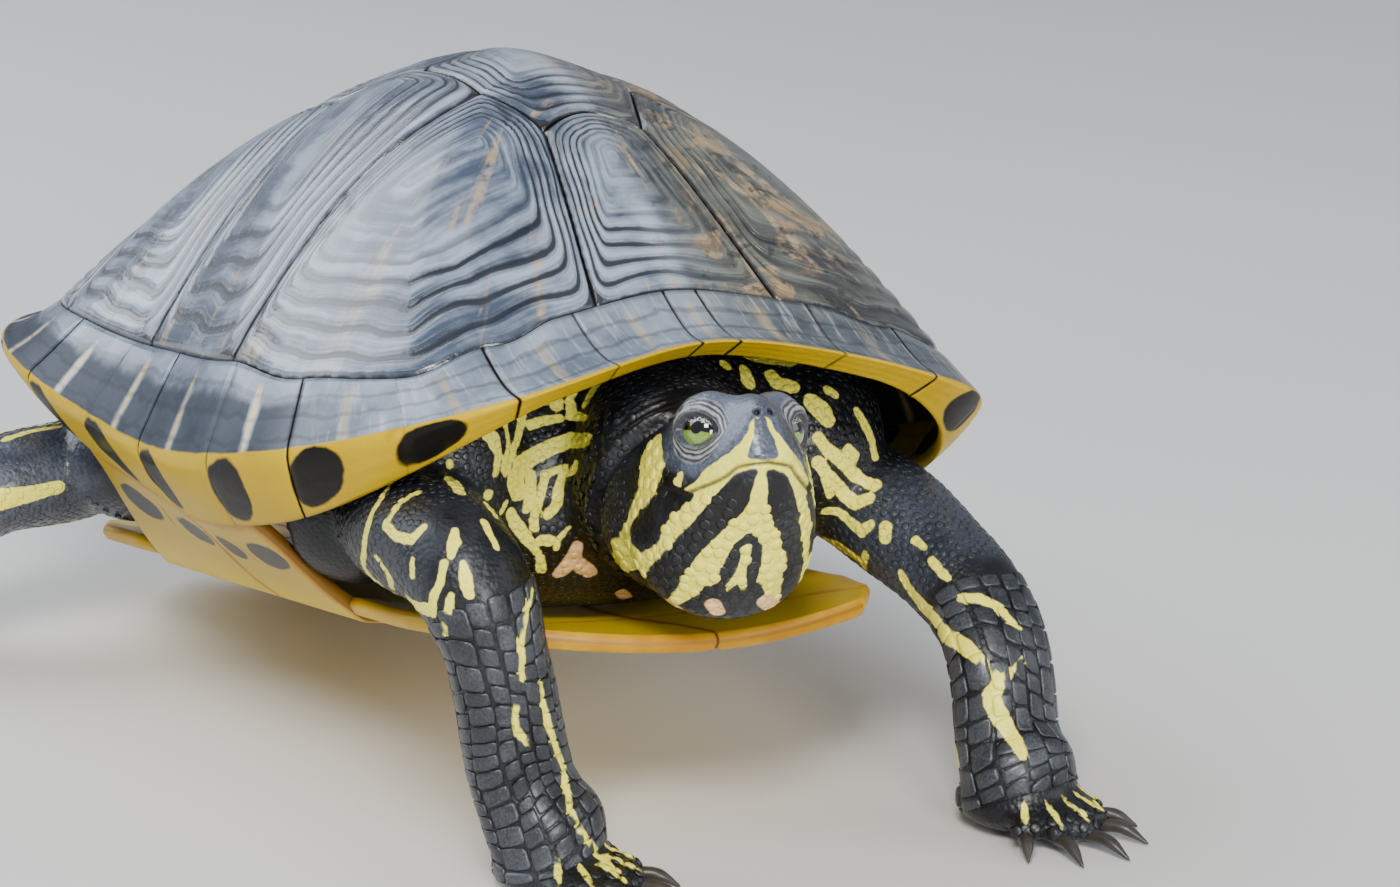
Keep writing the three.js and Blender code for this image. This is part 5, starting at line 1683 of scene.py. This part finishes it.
def skinPaint():
    paint = Paint("scalySkin", Specular_IOR_Level=0.35, Coat_Roughness=0.15)
    yellow, peach, slate = paint.attribute("yellow"), paint.attribute("peach"), paint.attribute("slate")
    lid, mouthAway, hole = paint.attribute("lid"), paint.attribute("mouth"), paint.attribute("nostril")
    blur, wobble, fine = paint.noise(90, 4, 0.6), paint.noise(650, 3), paint.noise(1800, 4, 0.6)
    dark = paint.mix(paint.step(blur, 0.35, 0.75), (0.003, 0.003, 0.004), (0.014, 0.016, 0.02))
    grey = paint.mix(paint.step(fine * 0.4 + blur * 0.6, 0.38, 0.62), (0.035, 0.043, 0.066),
                     (0.1, 0.118, 0.165))
    colour = paint.mix(slate, dark, grey)
    folds = ((lid * 18.5 + (wobble - 0.5) * 5).maths("SINE") * 0.5 + 0.5) * paint.step(lid, 1.1, 1.3)
    socket = (1 - paint.step(lid, 1.9, 2.25)) * paint.step(lid, 0.95, 1.1)
    # The eyelid socket is coloured by the folds, pale on the crests and near-black in the grooves: painted
    # highlight and painted shade on the wrinkles, over the lids' own grey.
    colour = paint.mix(socket * 0.9, colour, paint.mix(folds, (0.02, 0.022, 0.025), (0.36, 0.37, 0.38)))
    lemon = lemonOf(paint, blur, fine, 0.35)
    colour = paint.mix(paint.step(yellow + (wobble - 0.5) * 0.7, -0.14, 0.14), colour, lemon)
    colour = paint.mix(paint.step(peach + (wobble - 0.5) * 0.7, -0.2, 0.2), colour, peachColour)
    shadow = (1 - paint.step(mouthAway, 0.1, 0.5)) * 0.85
    colour = paint.mix(shadow, colour, (0.02, 0.015, 0.012))
    # The nostril pits are painted near-black: painted shade inside the holes.
    colour = paint.mix(1 - paint.step(hole, 0.35, 0.6), colour, (0.004, 0.004, 0.004))
    pebbles = paint.cells(1150, "F1", random=0.9)
    height = (1 - pebbles) * 0.8 + (fine - 0.5) * 0.5 + folds * socket * 1.4
    rough = paint.step(blur, 0.3, 0.7, 0.34, 0.5) - slate * 0.1
    coat = slate * 0.3 + 0.15
    return paint.feed(Base_Color=colour, Roughness=rough, Coat_Weight=coat,
                      Normal=paint.bump(height, 0.00025, 0.7))


def scalePaint():
    paint = Paint("scales", Roughness=0.38, Specular_IOR_Level=0.4, Coat_Weight=0.15, Coat_Roughness=0.15)
    yellow, peach, rim = paint.attribute("yellow"), paint.attribute("peach"), paint.attribute("rim")
    blur, wobble, fine = paint.noise(90, 4, 0.6), paint.noise(650, 3), paint.noise(2400, 4, 0.6)
    plate = paint.attribute("plate")
    dark = paint.mix(paint.step(blur, 0.35, 0.75), (0.004, 0.004, 0.005), (0.018, 0.02, 0.025))
    slab = paint.mix(paint.step(fine + (blur - 0.5), 0.3, 0.8), (0.016, 0.018, 0.023), (0.07, 0.076, 0.09))
    dark = paint.mix(paint.attribute("slate"), dark, (0.07, 0.082, 0.11))
    dark = paint.mix(plate, dark, slab)
    # The foot of each scale, where it meets the skin, is darkened: painted shade in the crease between
    # scales.
    dark = paint.mix(paint.step(rim, 0.5, 0.95), dark, (0.003, 0.003, 0.003))
    lemon = lemonOf(paint, blur, fine, 0.3)
    # Yellow scales are browned at their foot the same way: painted shade.
    lemon = paint.mix(paint.step(rim, 0.7, 1) * 0.5, lemon, (0.3, 0.2, 0.04))
    colour = paint.mix(paint.step(yellow + (wobble - 0.5) * 0.5, -0.14, 0.14), dark, lemon)
    colour = paint.mix(paint.step(peach, -0.2, 0.2), colour, peachColour)
    return paint.feed(Base_Color=colour, Normal=paint.bump(fine, 0.00012, 0.6))


def eyePaint():
    paint = Paint("wetEye", Roughness=0.05, Coat_Weight=1.0, Coat_Roughness=0.01)
    across, up = paint.attribute("eyeAcross"), paint.attribute("eyeUp")
    away = (across * across + up * up).maths("SQRT")
    threads = paint.noise(2600, 4, 0.7)
    # Pale speckles on the upper iris are painted reflections (glints) over its dark colour.
    glintSpeckle = paint.step(paint.noise(3800, 2), 0.5, 0.62)
    iris = paint.mix(threads, (0.07, 0.14, 0.01), (0.3, 0.42, 0.08))
    upperIrisWithGlints = paint.mix(glintSpeckle, (0.02, 0.02, 0.015), (0.62, 0.64, 0.56))
    colour = paint.mix(paint.step(up + (threads - 0.5) * 0.06, 0.13, 0.2), iris, upperIrisWithGlints)
    bar = (up - 0.04 + (threads - 0.5) * 0.08).maths("ABSOLUTE")
    colour = paint.mix(1 - paint.step(bar, 0.13, 0.18), colour, (0.004, 0.004, 0.004))
    colour = paint.mix(1 - paint.step(away, 0.2, 0.23), colour, (0.002, 0.002, 0.002))
    colour = paint.mix(paint.step(away, 0.72, 0.82), colour, (0.01, 0.01, 0.01))
    return paint.feed(Base_Color=colour)


def clawPaint():
    paint = Paint("claw", Roughness=0.35)
    grain = paint.noise(500, 3)
    colour = paint.mix(grain, (0.015, 0.013, 0.012), (0.06, 0.05, 0.042))
    return paint.feed(Base_Color=colour, Normal=paint.bump(grain, 0.0001, 0.5))


# Floor, light, camera.

def buildStudio():
    bm = bmesh.new()
    bmesh.ops.create_grid(bm, x_segments=2, y_segments=2, size=6)
    mesh = bpy.data.meshes.new("floor")
    bm.to_mesh(mesh)
    bm.free()
    floor = bpy.data.objects.new("floor", mesh)
    floor.location.z = -0.0001
    paint = Paint("paleFloor", Roughness=0.7)
    shade = paint.mix(paint.noise(3, 3), (0.62, 0.61, 0.59), (0.68, 0.67, 0.65))
    paint.feed(Base_Color=shade)
    mesh.materials.append(paint.material)
    bpy.context.scene.collection.objects.link(floor)
    lamps = [("keyLamp", (-0.55, -0.8, 0.9), 0.35, 15, (1, 0.98, 0.94)),
             ("fillLamp", (0.9, -0.7, 0.5), 0.7, 3.5, (0.95, 0.97, 1)),
             ("faceLamp", (-0.15, -1.0, 0.28), 0.3, 7, (1, 0.99, 0.96)),
             ("skyLamp", (-0.5, 0.75, 0.75), 1.1, 17, (0.85, 0.92, 1))]
    for name, place, size, power, tint in lamps:
        data = bpy.data.lights.new(name, "AREA")
        data.size, data.energy, data.color = size, power, tint
        lamp = bpy.data.objects.new(name, data)
        lamp.location = place
        lamp.rotation_euler = (Vector((0, 0, 0.05)) - Vector(place)).to_track_quat("-Z", "Y").to_euler()
        bpy.context.scene.collection.objects.link(lamp)
    world = bpy.data.worlds.new("studio")
    bpy.context.scene.world = world
    world.use_nodes = True
    world.node_tree.nodes["Background"].inputs[0].default_value = (0.8, 0.87, 1.0, 1)
    world.node_tree.nodes["Background"].inputs[1].default_value = 0.4
    data = bpy.data.cameras.new("camera")
    data.lens, data.sensor_width, data.clip_start = aim["lens"], 36, 0.01
    camera = bpy.data.objects.new("camera", data)
    camera.location = inScene(aim["place"])
    camera.rotation_euler = [math.radians(a) for a in aim["turn"]]
    bpy.context.scene.collection.objects.link(camera)
    bpy.context.scene.camera = camera
    print("studio done")


buildStudio()
buildBack(backPaint())
buildRim(rimPaint())
buildBelly(bellyPaint())
clawSpots, surface = buildSkin(skinPaint())
buildScales(surface, scalePaint())
buildEyes(eyePaint())
buildClaws(clawSpots, clawPaint())
